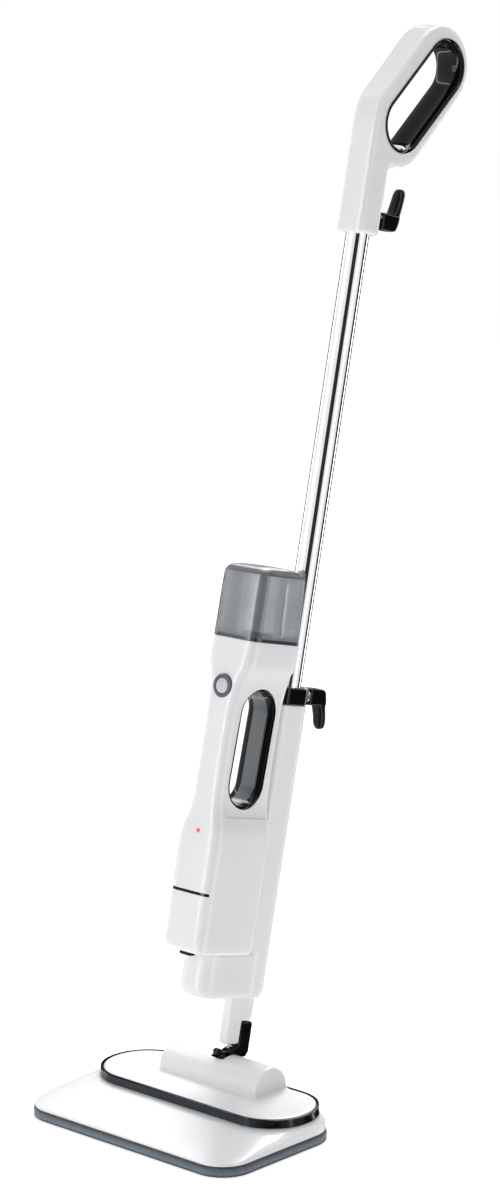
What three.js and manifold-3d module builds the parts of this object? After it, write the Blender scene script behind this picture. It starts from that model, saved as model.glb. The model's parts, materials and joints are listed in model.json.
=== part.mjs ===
// Steam mop: a padded mop head, a two-axis swivel, a spine with a docking cup,
// a detachable steam unit with its water tank, a chrome pole and a D-handle.
// Millimetres, +Z up. The origin is the centre of the pad's underside, +Y points
// to the rear, and X = 0 is the plane of symmetry.
import * as THREE from 'three';
import { mergeVertices } from 'three/addons/utils/BufferGeometryUtils.js';
import Module from 'manifold-3d';

const wasm = await Module();
wasm.setup();

// ---------------------------------------------------------------- dimensions
const GAP = 0.3; // air between pieces that touch on the real object
const WALL = 2.5; // moulded wall

// mop head
const PAD_WIDTH = 294;
const PAD_DEPTH = 176;
const PAD_HEIGHT = 11.3;
const PAD_CORNER = 35;
const PAD_FLOOR = 7; // thickness of the pile under the sole plate
const PAD_BORDER = 6;
const SOLE_THICKNESS = 3.8;
const LIP_TOP = 14.4; // top of the shell's upright edge at the front
const WALL_TOP = 21.5; // and at the rear of its sides
const DECK_Z = 25; // where the shell carries the trim ring
const DECK_FRONT = -5; // the deck is a stadium set toward the rear
const DECK_REAR = 95.5;
const DECK_LENGTH = 279;
const DECK_RADIUS = 50;
const TRIM_WIDTH = 3;
const TRIM_HEIGHT = 9.2;
const COVER_TOP = 34.8;
const ARCH_RADIUS = 24.6; // hinge housing on the cover
const ARCH_HALF_LENGTH = 70;

// swivel
const PITCH_Y = 67.5;
const PITCH_Z = 37.8;
const LEAN = THREE.MathUtils.degToRad(12.8); // how far the pole leans back at rest
const POLE_OFFSET = 12.4; // pole axis behind the pitch axis
const PITCH_W = -2.2; // height of the pitch axis along the pole
const BARREL_RADIUS = 18;
const BARREL_HALF_LENGTH = 52;
const PITCH_PIN_RADIUS = 4;
const STEM_HALF_WIDTH = 7;
const STEM_HALF_DEPTH = 8;
const SLOT_FROM = -22; // housing slot, degrees from upright, rear is positive
const SLOT_TO = 88;
const SHOE_RADIUS = 25.2; // the yoke's foot slides over the housing
const YOKE_HALF_WIDTH = 7;
const ROLL_W = 44; // height of the roll axis along the pole
const ROLL_PIN_RADIUS = 4;

// spine and docking cup, measured along the pole (w) and behind its axis (s)
const SPINE_HALF_WIDTH = 19;
const SPINE_FRONT = -24.5;
const SPINE_REAR = 18.6;
const SPINE_BOTTOM = 84;
const SPINE_TOP = 398;
const CUP_FRONT = -86;
const CUP_TOP = 132.1;
const CUP_HALF_WIDTH = 22;
const NECK_HALF_WIDTH = 7.5;
const NECK_FRONT = -22.5;
const NECK_REAR = 13.8;
const TENON_REAR = 9.5; // the neck narrows where it enters the spine
const COLLAR_TOP = 416;

// pole
const TUBE_RADIUS = 12.5;
const TUBE_WALL = 1;
const TUBE_BOTTOM = 300;
const TUBE_TOP = 985;

// steam unit
const UNIT_BOTTOM = 132.5;
const UNIT_TOP = 461;
const UNIT_REAR = -25.5;
const SLOT_S = -65;
const SLOT_W = 348.5;
const SLOT_TILT = THREE.MathUtils.degToRad(2);
const SLOT_STRAIGHT = 36.5; // half of the straight stretch
const SLOT_RADIUS = 27;
const SLOT_HOLE_RADIUS = 23;
const SLOT_HALF_WIDTH = 19;
const SLOT_SEAT = 16.8; // the liner's rims are let into the shell this far out
const BUTTON_W = 411;
const BUTTON_RADIUS = 8.4;
const BEZEL_RADIUS = 12.2;
const LED_W = 259;
const SLIT_W = 195;
const TANK_BOTTOM = 461.4;
const TANK_TOP = 539;

// handle
const SOCKET_BOTTOM = 898;
const SOCKET_FRONT = -16.7;
const SOCKET_REAR = 15.5;
const HANDLE_HALF_WIDTH = 17.5;
const LOOP_S = 54.8;
const LOOP_W = 1055.5;
const LOOP_ANGLE = THREE.MathUtils.degToRad(37.6);
const LOOP_STRAIGHT = 44;
const LOOP_LINER_RADIUS = 31.2;
const LOOP_HOLE_RADIUS = 25.5;
const LOOP_LINER_HALF_WIDTH = 19;
const LOOP_OUTER_RADIUS = 42;
const LOOP_TOP_RADIUS = 44.3; // the shell's top arc, centred forward of the opening's
const LOOP_FORWARD = 3.3;
const LOOP_TOP_DROP = 2.3;
const LOOP_REARWARD = 1.5; // its heel arc is centred behind and below the opening's
const LOOP_HEEL = 6;
const BROW = [41.7, 1116.6]; // where the stem's front runs into the top arc

// cord hooks
const HOOK_RADIUS = 9;
const LOWER_HOOK_W = 407;
const UPPER_HOOK_W = 917;
const HOOK_START = 27.3;

// -------------------------------------------------------------------- solids
const X = new THREE.Vector3(1, 0, 0);
const Y = new THREE.Vector3(0, 1, 0);
const Z = new THREE.Vector3(0, 0, 1);

function solid(geometry) {
  const bare = geometry.clone();
  bare.deleteAttribute('normal');
  bare.deleteAttribute('uv');
  const merged = mergeVertices(bare, 1e-4);
  const mesh = new wasm.Mesh({
    numProp: 3,
    vertProperties: new Float32Array(merged.attributes.position.array),
    triVerts: new Uint32Array(merged.index.array),
  });
  return new wasm.Manifold(mesh);
}

function toGeometry(manifold) {
  const mesh = manifold.getMesh();
  const geometry = new THREE.BufferGeometry();
  geometry.setAttribute('position', new THREE.BufferAttribute(mesh.vertProperties, 3));
  geometry.setIndex(new THREE.BufferAttribute(mesh.triVerts, 1));
  geometry.computeVertexNormals();
  return geometry;
}

function cut(base, ...tools) {
  return tools.reduce((body, tool) => body.subtract(tool), base);
}

function join(first, ...others) {
  return others.reduce((body, other) => body.add(other), first);
}

function block(x0, x1, y0, y1, z0, z1) {
  const geometry = new THREE.BoxGeometry(x1 - x0, y1 - y0, z1 - z0);
  geometry.translate((x0 + x1) / 2, (y0 + y1) / 2, (z0 + z1) / 2);
  return solid(geometry);
}

// A round bar between two points.
function bar(start, end, radius, sides = 20) {
  const from = new THREE.Vector3(...start);
  const along = new THREE.Vector3(...end).sub(from);
  const geometry = new THREE.CylinderGeometry(radius, radius, along.length(), sides);
  geometry.translate(0, along.length() / 2, 0);
  geometry.applyQuaternion(new THREE.Quaternion().setFromUnitVectors(Y, along.normalize()));
  geometry.translate(from.x, from.y, from.z);
  return solid(geometry);
}

// A turned piece: the profile's radii and heights run from the axis to the axis,
// and it stands at a point with its axis along a direction.
function turned(profile, place, direction, sides = 16) {
  const points = profile.map(([radius, height]) => new THREE.Vector2(radius, height));
  const geometry = new THREE.LatheGeometry(points, sides);
  geometry.applyQuaternion(new THREE.Quaternion().setFromUnitVectors(Y, direction));
  geometry.translate(...place);
  return solid(geometry);
}

// An outline drawn in the plane of symmetry, as [s, w] pairs, given a width across it.
function plate(outline, x0, x1, bevel = 0) {
  const shape = new THREE.Shape(outline.map(([s, w]) => new THREE.Vector2(s, w)));
  const options = {
    depth: x1 - x0 - 2 * bevel,
    bevelEnabled: bevel > 0,
    bevelThickness: bevel,
    bevelSize: bevel,
    bevelOffset: -bevel,
    bevelSegments: 3,
  };
  const geometry = new THREE.ExtrudeGeometry(shape, options);
  geometry.translate(0, 0, x0 + bevel);
  geometry.applyMatrix4(new THREE.Matrix4().makeBasis(Y, Z, X));
  return solid(geometry);
}

// An outline drawn in plan, as [x, y] pairs, given a height.
function slab(outline, z0, z1) {
  const shape = new THREE.Shape(outline.map(([x, y]) => new THREE.Vector2(x, y)));
  const geometry = new THREE.ExtrudeGeometry(shape, { depth: z1 - z0, bevelEnabled: false });
  geometry.translate(0, 0, z0);
  return solid(geometry);
}

// A skin stretched over a stack of outlines with the same number of points. A level's
// height is a number, or a function of x and y.
function loft(levels) {
  const count = levels[0].outline.length;
  const height = (z, x, y) => (typeof z === 'function' ? z(x, y) : z);
  const positions = levels.flatMap(({ outline, z }) => outline.flatMap(([x, y]) => [x, y, height(z, x, y)]));
  const indices = [];
  for (let level = 0; level + 1 < levels.length; level += 1) {
    for (let i = 0; i < count; i += 1) {
      const a = level * count + i;
      const b = level * count + ((i + 1) % count);
      indices.push(a, b, b + count, a, b + count, a + count);
    }
  }
  const last = (levels.length - 1) * count;
  for (let i = 1; i + 1 < count; i += 1) {
    indices.push(0, i + 1, i, last, last + i, last + i + 1);
  }
  const geometry = new THREE.BufferGeometry();
  geometry.setAttribute('position', new THREE.Float32BufferAttribute(positions, 3));
  geometry.setIndex(indices);
  return solid(geometry);
}

// ------------------------------------------------------------------ outlines
function arc(cx, cy, radius, from, to, steps) {
  const points = [];
  for (let i = 0; i <= steps; i += 1) {
    const angle = from + ((to - from) * i) / steps;
    points.push([cx + radius * Math.cos(angle), cy + radius * Math.sin(angle)]);
  }
  return points;
}

// A rectangle from front to rear with its own corner radius at each end.
function roundedBox(front, rear, halfWidth, frontRadius, rearRadius = frontRadius, steps = 4) {
  const q = Math.PI / 2;
  const right = halfWidth;
  return [
    ...arc(-right + frontRadius, front + frontRadius, frontRadius, 2 * q, 3 * q, steps),
    ...arc(right - frontRadius, front + frontRadius, frontRadius, 3 * q, 4 * q, steps),
    ...arc(right - rearRadius, rear - rearRadius, rearRadius, 0, q, steps),
    ...arc(-right + rearRadius, rear - rearRadius, rearRadius, q, 2 * q, steps),
  ];
}

// An outline drawn upright, leant back by an angle and set at a point.
function leant(outline, s, w, angle) {
  const [cos, sin] = [Math.cos(angle), Math.sin(angle)];
  return outline.map(([a, b]) => [s + a * cos + b * sin, w - a * sin + b * cos]);
}

// A stadium in the plane of symmetry, leaning back by an angle.
function leaningStadium(s, w, straight, radius, angle, steps = 10) {
  const half = Math.PI;
  const upright = [
    ...arc(0, straight, radius, 0, half, steps),
    ...arc(0, -straight, radius, half, 2 * half, steps),
  ];
  return leant(upright, s, w, angle);
}

// A ring that follows a leaning stadium. The section lists [offset, x] pairs, where the
// offset is measured outward from the stadium's radius.
function stadiumRing(s, w, straight, radius, angle, section, steps = 10) {
  const loops = section.map(([offset, x]) => ({
    x,
    points: leaningStadium(s, w, straight, radius + offset, angle, steps),
  }));
  const around = loops[0].points.length;
  const positions = loops.flatMap(({ x, points }) => points.flatMap(([a, b]) => [x, a, b]));
  const indices = [];
  for (let j = 0; j < loops.length; j += 1) {
    for (let i = 0; i < around; i += 1) {
      const a = j * around + i;
      const b = j * around + ((i + 1) % around);
      const c = ((j + 1) % loops.length) * around + i;
      const d = ((j + 1) % loops.length) * around + ((i + 1) % around);
      indices.push(a, b, d, a, d, c);
    }
  }
  const geometry = new THREE.BufferGeometry();
  geometry.setAttribute('position', new THREE.Float32BufferAttribute(positions, 3));
  geometry.setIndex(indices);
  return solid(geometry);
}

// ----------------------------------------------------------------- materials
const FINISHES = {
  white: { color: 0xe9eaeb, roughness: 0.28, metalness: 0 },
  black: { color: 0x101114, roughness: 0.22, metalness: 0 },
  slate: { color: 0x39424b, roughness: 0.35, metalness: 0 },
  pad: { color: 0x6f7a83, roughness: 0.95, metalness: 0 },
  chrome: { color: 0xdfe2e6, roughness: 0.08, metalness: 1 },
  steel: { color: 0xb9bcc0, roughness: 0.3, metalness: 1 },
  smoke: { color: 0x60666b, roughness: 0.1, metalness: 0, transparent: true, opacity: 0.55 },
  grey: { color: 0xc3c6c9, roughness: 0.35, metalness: 0 },
  red: { color: 0xb3202a, roughness: 0.2, metalness: 0 },
  aluminium: { color: 0xa9adb1, roughness: 0.4, metalness: 1 },
  brass: { color: 0xb4934a, roughness: 0.3, metalness: 1 },
  rubber: { color: 0x1b1c1e, roughness: 0.8, metalness: 0 },
  silicone: { color: 0xd8d4cb, roughness: 0.6, metalness: 0 },
  board: { color: 0x1d5a3a, roughness: 0.5, metalness: 0 },
};

function add(group, name, manifold, finish) {
  const material = new THREE.MeshStandardMaterial(FINISHES[finish]);
  const mesh = new THREE.Mesh(toGeometry(manifold), material);
  mesh.name = name;
  group.add(mesh);
}

// ------------------------------------------------------------------ mop head
const HALF_PAD = PAD_WIDTH / 2;
const HALF_DEPTH = PAD_DEPTH / 2;
const FAR = 400;
const NOTCH = YOKE_HALF_WIDTH + 2; // half width of the relief behind the housing

function padOutline(inset, steps = 6) {
  const radius = PAD_CORNER - inset;
  const end = HALF_DEPTH - inset;
  return roundedBox(-end, end, HALF_PAD - inset, radius, radius, steps);
}

function deckOutline(inset, steps = 12) {
  const radius = DECK_RADIUS - inset;
  return roundedBox(DECK_FRONT + inset, DECK_REAR - inset, DECK_LENGTH / 2 - inset, radius, radius, steps);
}

function mopPad() {
  const body = slab(padOutline(0), 0, PAD_HEIGHT);
  return cut(body, slab(padOutline(PAD_BORDER), PAD_FLOOR, PAD_HEIGHT + 1));
}

function solePlate() {
  const bottom = PAD_FLOOR + GAP;
  const body = slab(padOutline(PAD_BORDER + GAP), bottom, bottom + SOLE_THICKNESS);
  const slots = [-90, -45, 0, 45, 90].map((x) => {
    const outline = roundedBox(7, 13, 14, 3, 3, 2).map(([a, b]) => [a + x, b]);
    return slab(outline, bottom - 1, bottom + SOLE_THICKNESS + 1);
  });
  return cut(body, ...slots);
}

// The shell's side wall grows from the low lip at the front toward the rear.
function wallTop(x, y) {
  const rise = THREE.MathUtils.clamp((y + HALF_DEPTH - PAD_CORNER) / (HALF_DEPTH + PAD_CORNER), 0, 1);
  return LIP_TOP + (WALL_TOP - LIP_TOP) * Math.sqrt(rise);
}

function baseShell() {
  const base = PAD_HEIGHT + GAP;
  const lip = 0.8;
  const outer = loft([
    { z: base, outline: padOutline(lip) },
    { z: wallTop, outline: padOutline(lip + 0.6) },
    { z: DECK_Z, outline: deckOutline(0.5, 6) },
  ]);
  const inner = loft([
    { z: base - 1, outline: padOutline(lip + WALL) },
    { z: (x, y) => wallTop(x, y) - WALL, outline: padOutline(lip + WALL) },
    { z: DECK_Z - WALL, outline: deckOutline(0.5 + WALL, 6) },
  ]);
  const mouth = slab(deckOutline(8), DECK_Z - 2 * WALL, DECK_Z + 1);
  return cut(outer, inner, mouth);
}

function trimRing() {
  const from = DECK_Z + GAP;
  const outer = slab(deckOutline(0), from, from + TRIM_HEIGHT);
  const notch = block(-NOTCH, NOTCH, PITCH_Y, FAR, from + 1.7, FAR);
  return cut(outer, slab(deckOutline(TRIM_WIDTH), from - 1, from + TRIM_HEIGHT + 1), notch);
}

function archOutline(radius, bottom) {
  return [
    [PITCH_Y - radius, bottom],
    [PITCH_Y + radius, bottom],
    ...arc(PITCH_Y, PITCH_Z, radius, 0, Math.PI, 16),
  ];
}

// A slice of a ring round the pitch axis; angles are from upright, rear is positive.
function sector(inner, outer, fromDegrees, toDegrees) {
  const from = Math.PI / 2 - THREE.MathUtils.degToRad(toDegrees);
  const to = Math.PI / 2 - THREE.MathUtils.degToRad(fromDegrees);
  return [
    ...arc(PITCH_Y, PITCH_Z, outer, from, to, 12),
    ...arc(PITCH_Y, PITCH_Z, inner, to, from, 12),
  ];
}

function topCover() {
  const from = DECK_Z + GAP;
  const inset = TRIM_WIDTH + GAP;
  const skin = slab(deckOutline(inset), from, COVER_TOP);
  const arch = plate(archOutline(ARCH_RADIUS, from), -ARCH_HALF_LENGTH, ARCH_HALF_LENGTH, 2);
  const hollow = slab(deckOutline(inset + WALL), from - 1, COVER_TOP - WALL);
  const tunnelEnd = ARCH_HALF_LENGTH - WALL;
  const tunnel = plate(archOutline(ARCH_RADIUS - WALL, from - 1), -tunnelEnd, tunnelEnd);
  const slotOutline = sector(ARCH_RADIUS - 2 * WALL, ARCH_RADIUS + 5, SLOT_FROM, SLOT_TO);
  const slotHalf = STEM_HALF_WIDTH + 2;
  return cut(join(skin, arch), hollow, tunnel, plate(slotOutline, -slotHalf, slotHalf));
}

// A block at each end of the housing carries the pitch pin.
function bearingBlock(side) {
  const bottom = PAD_FLOOR + GAP + SOLE_THICKNESS + GAP;
  const [x0, x1] = [BARREL_HALF_LENGTH + 1, ARCH_HALF_LENGTH - WALL - 1];
  const half = 14;
  const outline = [
    [PITCH_Y - half, bottom],
    [PITCH_Y + half, bottom],
    ...arc(PITCH_Y, PITCH_Z, half, 0, Math.PI, 8),
  ];
  const body = side > 0 ? plate(outline, x0, x1) : plate(outline, -x1, -x0);
  const end = side * FAR;
  return cut(body, bar([0, PITCH_Y, PITCH_Z], [end, PITCH_Y, PITCH_Z], PITCH_PIN_RADIUS + GAP));
}

function steamDistributor() {
  const bottom = PAD_FLOOR + GAP + SOLE_THICKNESS + GAP;
  const channel = slab(roundedBox(1, 19, 106, 8, 8, 3), bottom, bottom + 5);
  const spout = bar([0, 10, bottom + 4], [0, 10, bottom + 9.5], 4, 12);
  const inside = slab(roundedBox(4, 16, 103, 5, 5, 3), bottom - 1, bottom + 2.5);
  const bore = bar([0, 10, bottom - 1], [0, 10, bottom + 12], 2.4, 12);
  return cut(join(channel, spout), inside, bore);
}

function buildHead() {
  const head = new THREE.Group();
  add(head, 'mop_pad', mopPad(), 'pad');
  add(head, 'sole_plate', solePlate(), 'steel');
  add(head, 'base_shell', baseShell(), 'white');
  add(head, 'trim_ring', trimRing(), 'slate');
  add(head, 'top_cover', topCover(), 'white');
  add(head, 'bearing_block_left', bearingBlock(-1), 'black');
  add(head, 'bearing_block_right', bearingBlock(1), 'black');
  add(head, 'steam_distributor', steamDistributor(), 'grey');
  const reach = ARCH_HALF_LENGTH - WALL - 3;
  const pin = bar([-reach, PITCH_Y, PITCH_Z], [reach, PITCH_Y, PITCH_Z], PITCH_PIN_RADIUS);
  add(head, 'pitch_pin', pin, 'steel');
  return head;
}

// -------------------------------------------------------------------- swivel
// Everything above the head is drawn in the pole's own frame: x across, s behind the
// pole's axis, w along it.
const PITCH_S = -POLE_OFFSET;

function poleFrame() {
  const group = new THREE.Group();
  group.rotation.x = -LEAN;
  const pitchAxis = new THREE.Vector3(0, PITCH_S, PITCH_W).applyEuler(group.rotation);
  group.position.set(0, PITCH_Y, PITCH_Z).sub(pitchAxis);
  return group;
}

function pitchBarrel() {
  const end = BARREL_HALF_LENGTH;
  const barrel = bar([-end, PITCH_S, PITCH_W], [end, PITCH_S, PITCH_W], BARREL_RADIUS, 28);
  const stem = block(
    -STEM_HALF_WIDTH,
    STEM_HALF_WIDTH,
    PITCH_S - STEM_HALF_DEPTH,
    PITCH_S + STEM_HALF_DEPTH,
    PITCH_W + BARREL_RADIUS - 6,
    PITCH_W + SHOE_RADIUS - 2,
  );
  const bore = bar([-FAR, PITCH_S, PITCH_W], [FAR, PITCH_S, PITCH_W], PITCH_PIN_RADIUS + GAP);
  return cut(join(barrel, stem), bore);
}

// The black yoke: a foot that slides over the housing, a turned-up toe, and a leg
// behind the neck that carries the roll pin.
function swivelYoke() {
  const toe = { s: -27, w: 24, radius: 3.8, halfWidth: 3 };
  const foot = plate(
    [
      [toe.s, toe.w - toe.radius], [-20, 14], [-4, 12], [6, 18.5], [11.5, 18.5], [15.5, 24],
      [15.5, 60], [-2, 60], [-3, 48], [-1.6, 36], [-2, 30.4], [-9, 26.8], [-16, 24.2],
      [-22, 24.6], [toe.s, toe.w + toe.radius],
    ],
    -YOKE_HALF_WIDTH,
    YOKE_HALF_WIDTH,
  );
  const nub = bar([-toe.halfWidth, toe.s, toe.w], [toe.halfWidth, toe.s, toe.w], toe.radius, 20);
  const plan = slab(
    [
      [-toe.halfWidth, -FAR], [toe.halfWidth, -FAR], [toe.halfWidth, -24], [YOKE_HALF_WIDTH, -10],
      [YOKE_HALF_WIDTH, FAR], [-YOKE_HALF_WIDTH, FAR], [-YOKE_HALF_WIDTH, -10], [-toe.halfWidth, -24],
    ],
    -FAR,
    FAR,
  );
  const housing = bar([-FAR, PITCH_S, PITCH_W], [FAR, PITCH_S, PITCH_W], SHOE_RADIUS, 64);
  const roundTop = join(
    bar([0, -50, ROLL_W], [0, 50, ROLL_W], 13, 32),
    block(-FAR, FAR, -FAR, FAR, -FAR, ROLL_W),
  );
  const pin = bar([0, -60, ROLL_W], [0, 60, ROLL_W], ROLL_PIN_RADIUS + GAP);
  return cut(join(foot, nub), housing, pin).intersect(roundTop).intersect(plan);
}

function rollPin() {
  return bar([0, -17.5, ROLL_W], [0, 15, ROLL_W], ROLL_PIN_RADIUS);
}

// ------------------------------------------------------------ neck and spine
function neck() {
  const width = NECK_HALF_WIDTH;
  const front = [
    { z: 32, outline: roundedBox(NECK_FRONT + 1.5, -3.2, width, 4, 1, 3) },
    { z: SPINE_BOTTOM + 18, outline: roundedBox(NECK_FRONT, -3.2, width, 4, 1, 3) },
  ];
  const rear = [
    { z: 57.8, outline: roundedBox(-12, NECK_REAR - 0.8, width, 3, 2.5, 3) },
    { z: SPINE_BOTTOM - GAP, outline: roundedBox(-12, NECK_REAR, width, 3, 2.5, 3) },
  ];
  const tenon = slab(roundedBox(-12, TENON_REAR, width, 3, 2.5, 3), SPINE_BOTTOM - 4, SPINE_BOTTOM + 18);
  const blade = join(loft(front), loft(rear), tenon);
  const legRoom = bar([0, -2.8, ROLL_W], [0, 60, ROLL_W], 13.6, 32);
  const footRoom = join(
    bar([0, -60, ROLL_W], [0, 60, ROLL_W], 12.5, 28),
    block(-FAR, FAR, -FAR, FAR, ROLL_W, FAR),
  );
  const pinBore = bar([0, -18, ROLL_W], [0, 60, ROLL_W], ROLL_PIN_RADIUS + GAP);
  const duct = bar([0, -12, 60], [0, -12, FAR], 4, 12);
  return cut(blade.intersect(footRoom), legRoom, pinBore, duct);
}

function steamPipe() {
  const wall = 1;
  const outer = bar([0, -12, 62], [0, -12, 112], 4 - GAP, 12);
  return cut(outer, bar([0, -12, 61], [0, -12, 113], 4 - GAP - wall, 12));
}

// The column and the cup, each a stack of outlines; inset makes the inner skin.
function spineColumn(inset, bottom, top) {
  const levels = [[bottom, 4], [bottom + 3, 1.5], [bottom + 8, 0], [top, 0]];
  return loft(
    levels.map(([z, step]) => ({
      z,
      outline: roundedBox(
        SPINE_FRONT + inset,
        SPINE_REAR - inset - step,
        SPINE_HALF_WIDTH - inset - step / 2,
        6,
        14 - inset,
        5,
      ),
    })),
  );
}

function spineCup(inset, bottom, top) {
  const width = CUP_HALF_WIDTH - inset;
  const front = CUP_FRONT + inset;
  const rear = -8;
  return loft([
    { z: bottom, outline: roundedBox(front + 9, rear, width - 5, 12, 6, 5) },
    { z: bottom + 2, outline: roundedBox(front + 4.5, rear, width - 2, 14, 6, 5) },
    { z: bottom + 6, outline: roundedBox(front + 1.2, rear, width - 0.4, 16, 6, 5) },
    { z: bottom + 12, outline: roundedBox(front, rear, width, 16, 6, 5) },
    { z: top, outline: roundedBox(front, rear, width, 16, 6, 5) },
  ]);
}

// The cup's mouth, which ends at the column's front wall.
function cupMouth(bottom, top) {
  const outline = roundedBox(CUP_FRONT + WALL, SPINE_FRONT - GAP, CUP_HALF_WIDTH - WALL, 13.5, 3, 5);
  return loft([{ z: bottom, outline }, { z: top, outline }]);
}

// Screws hold the two halves of a moulding together. Each one sits in a boss that
// crosses the hollow, with its head sunk in the left face: [s, w, half width there].
const SPINE_SCREWS = [[4, 160, SPINE_HALF_WIDTH], [4, 268, SPINE_HALF_WIDTH]];
const HANDLE_SCREWS = [[6, 993, HANDLE_HALF_WIDTH], [102.5, 1117, HANDLE_HALF_WIDTH]];
const UNIT_SCREWS = [[-33, 160, 28], [-93, 283, 20.5], [-38, 452, 31]];
const BOSS_RADIUS = 4.2;
const SCREW_RADIUS = 1.7;
const SCREW_TIP = 10;

function withBosses(outer, hollow, places) {
  const bosses = places.map(([s, w, reach]) => bar([-reach, s, w], [reach, s, w], BOSS_RADIUS, 16).intersect(outer));
  const bores = places.flatMap(([s, w, reach]) => [
    bar([-FAR, s, w], [SCREW_TIP + GAP, s, w], SCREW_RADIUS + GAP, 12),
    bar([-FAR, s, w], [-reach + 4, s, w], 2 * SCREW_RADIUS + GAP, 16),
  ]);
  return cut(join(hollow, ...bosses), ...bores);
}

function screw([s, w, reach]) {
  const length = SCREW_TIP + reach - 4 + GAP;
  const head = 2 * SCREW_RADIUS;
  const profile = [
    [0, 0], [SCREW_RADIUS, 0], [SCREW_RADIUS, length], [head, length], [head, length + 2], [0, length + 2],
  ];
  return turned(profile, [SCREW_TIP, s, w], new THREE.Vector3(-1, 0, 0), 12);
}

function spine() {
  const outer = join(spineColumn(0, SPINE_BOTTOM, SPINE_TOP), spineCup(0, SPINE_BOTTOM, CUP_TOP));
  const inner = join(
    spineColumn(WALL, SPINE_BOTTOM + WALL, SPINE_TOP - WALL),
    spineCup(WALL, SPINE_BOTTOM + WALL, CUP_TOP - WALL),
    cupMouth(CUP_TOP - 2 * WALL, CUP_TOP + WALL),
  );
  const room = NECK_HALF_WIDTH + GAP;
  const neckHole = block(-room, room, NECK_FRONT - GAP, TENON_REAR + GAP, SPINE_BOTTOM - 9, SPINE_BOTTOM + 9);
  const tubeHole = bar([0, 0, SPINE_TOP - 9], [0, 0, SPINE_TOP + 9], TUBE_RADIUS + GAP, 32);
  return withBosses(outer, cut(outer, inner, neckHole, tubeHole), SPINE_SCREWS);
}

function half(body, side) {
  const seam = 0.1;
  const keep = side > 0 ? block(seam, FAR, -FAR, FAR, -FAR, 4 * FAR) : block(-FAR, -seam, -FAR, FAR, -FAR, 4 * FAR);
  return body.intersect(keep);
}

// A sleeve inside the spine grips the foot of the pole.
function poleSleeve() {
  const outer = bar([0, 0, TUBE_BOTTOM - 8], [0, 0, TUBE_BOTTOM + 60], 15.5, 24);
  const bore = bar([0, 0, TUBE_BOTTOM - GAP], [0, 0, TUBE_BOTTOM + 70], TUBE_RADIUS + GAP, 32);
  return cut(outer, bore);
}

function hookCollar() {
  const [z0, z1] = [SPINE_TOP + GAP, COLLAR_TOP];
  const grow = 0.4;
  const ring = loft(
    [z0, z1 - 1.2, z1].map((z, i) => {
      const inset = i === 2 ? 0.8 : -grow;
      return {
        z,
        outline: roundedBox(SPINE_FRONT - grow + 0.4, SPINE_REAR - inset, SPINE_HALF_WIDTH - inset, 6, 14, 5),
      };
    }),
  );
  const boss = bar([0, 10, LOWER_HOOK_W], [0, 22, LOWER_HOOK_W], HOOK_RADIUS - 1, 20);
  const bore = bar([0, 0, z0 - 9], [0, 0, z1 + 9], TUBE_RADIUS + GAP, 32);
  return cut(join(ring, boss), bore);
}

// --------------------------------------------------------------- cord hooks
// A washer on the pivot stub, between the part that carries the hook and the hook.
function hookWasher(w) {
  const outer = bar([0, HOOK_START - 5, w], [0, HOOK_START - GAP, w], HOOK_RADIUS - 0.4, 20);
  return cut(outer, bar([0, 0, w], [0, 60, w], 3 + GAP, 12));
}

// The hook turns about its stub. Its base is a block and its finger a thumb that leans
// away from the pole and narrows to a round tip, pointing down (-1) or up (+1).
function cordHook(w, way, length) {
  const level = ([rise, front, rear, halfWidth, radius]) => ({
    z: rise,
    outline: roundedBox(HOOK_START + front, HOOK_START + rear, halfWidth, radius, radius, 4),
  });
  const base = [
    [-9, 0, 21.5, 6.6, 2], [-8.2, 0, 24.4, 7.8, 3], [-5.5, 0, 27.6, 8.2, 3.5], [4, 0, 30, 8.2, 3.5],
    [7.6, 0, 30.2, 7.8, 3], [9, 0, 29.4, 6.6, 2],
  ];
  const finger = [
    [2, 16, 29.4, 6.4, 3.5], [9, 18.8, 31.2, 7, 4], [13, 20.8, 32.2, 7.2, 4.4],
    [length - 14, 23.2, 34.8, 7, 5], [length - 7, 24.4, 36.2, 6.5, 5], [length - 3.4, 25.4, 36.3, 5.5, 4.6],
    [length - 1.2, 26.9, 35.4, 4, 3.4], [length, 29, 33.4, 1.9, 1.5],
  ];
  const body = join(loft(base.map(level)), loft(finger.map(level)));
  const bore = bar([0, HOOK_START - 1, 0], [0, HOOK_START + 16, 0], 3 + GAP, 12);
  const hook = cut(body, bore);
  return (way > 0 ? hook : hook.mirror([0, 0, 1])).translate([0, 0, w]);
}

function hookScrew(w, from) {
  return bar([0, from, w], [0, HOOK_START + 15.5, w], 3, 12);
}

// ---------------------------------------------------------------------- pole
function poleTube() {
  const outer = bar([0, 0, TUBE_BOTTOM], [0, 0, TUBE_TOP], TUBE_RADIUS, 32);
  const inner = bar([0, 0, TUBE_BOTTOM - 1], [0, 0, TUBE_TOP + 1], TUBE_RADIUS - TUBE_WALL, 32);
  return cut(outer, inner);
}

// -------------------------------------------------------------------- handle
// The loop's shell: thicker in front of the opening at the top, behind it at the heel.
function loopOutline(grow) {
  const top = LOOP_STRAIGHT - LOOP_TOP_DROP;
  const heel = -LOOP_STRAIGHT - LOOP_HEEL;
  const upright = [
    ...arc(-LOOP_FORWARD, top, LOOP_TOP_RADIUS + grow, 0, Math.PI, 12),
    ...arc(LOOP_REARWARD, heel, LOOP_OUTER_RADIUS + grow, Math.PI, 2 * Math.PI, 10),
  ];
  return leant(upright, LOOP_S, LOOP_W, LOOP_ANGLE);
}

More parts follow.
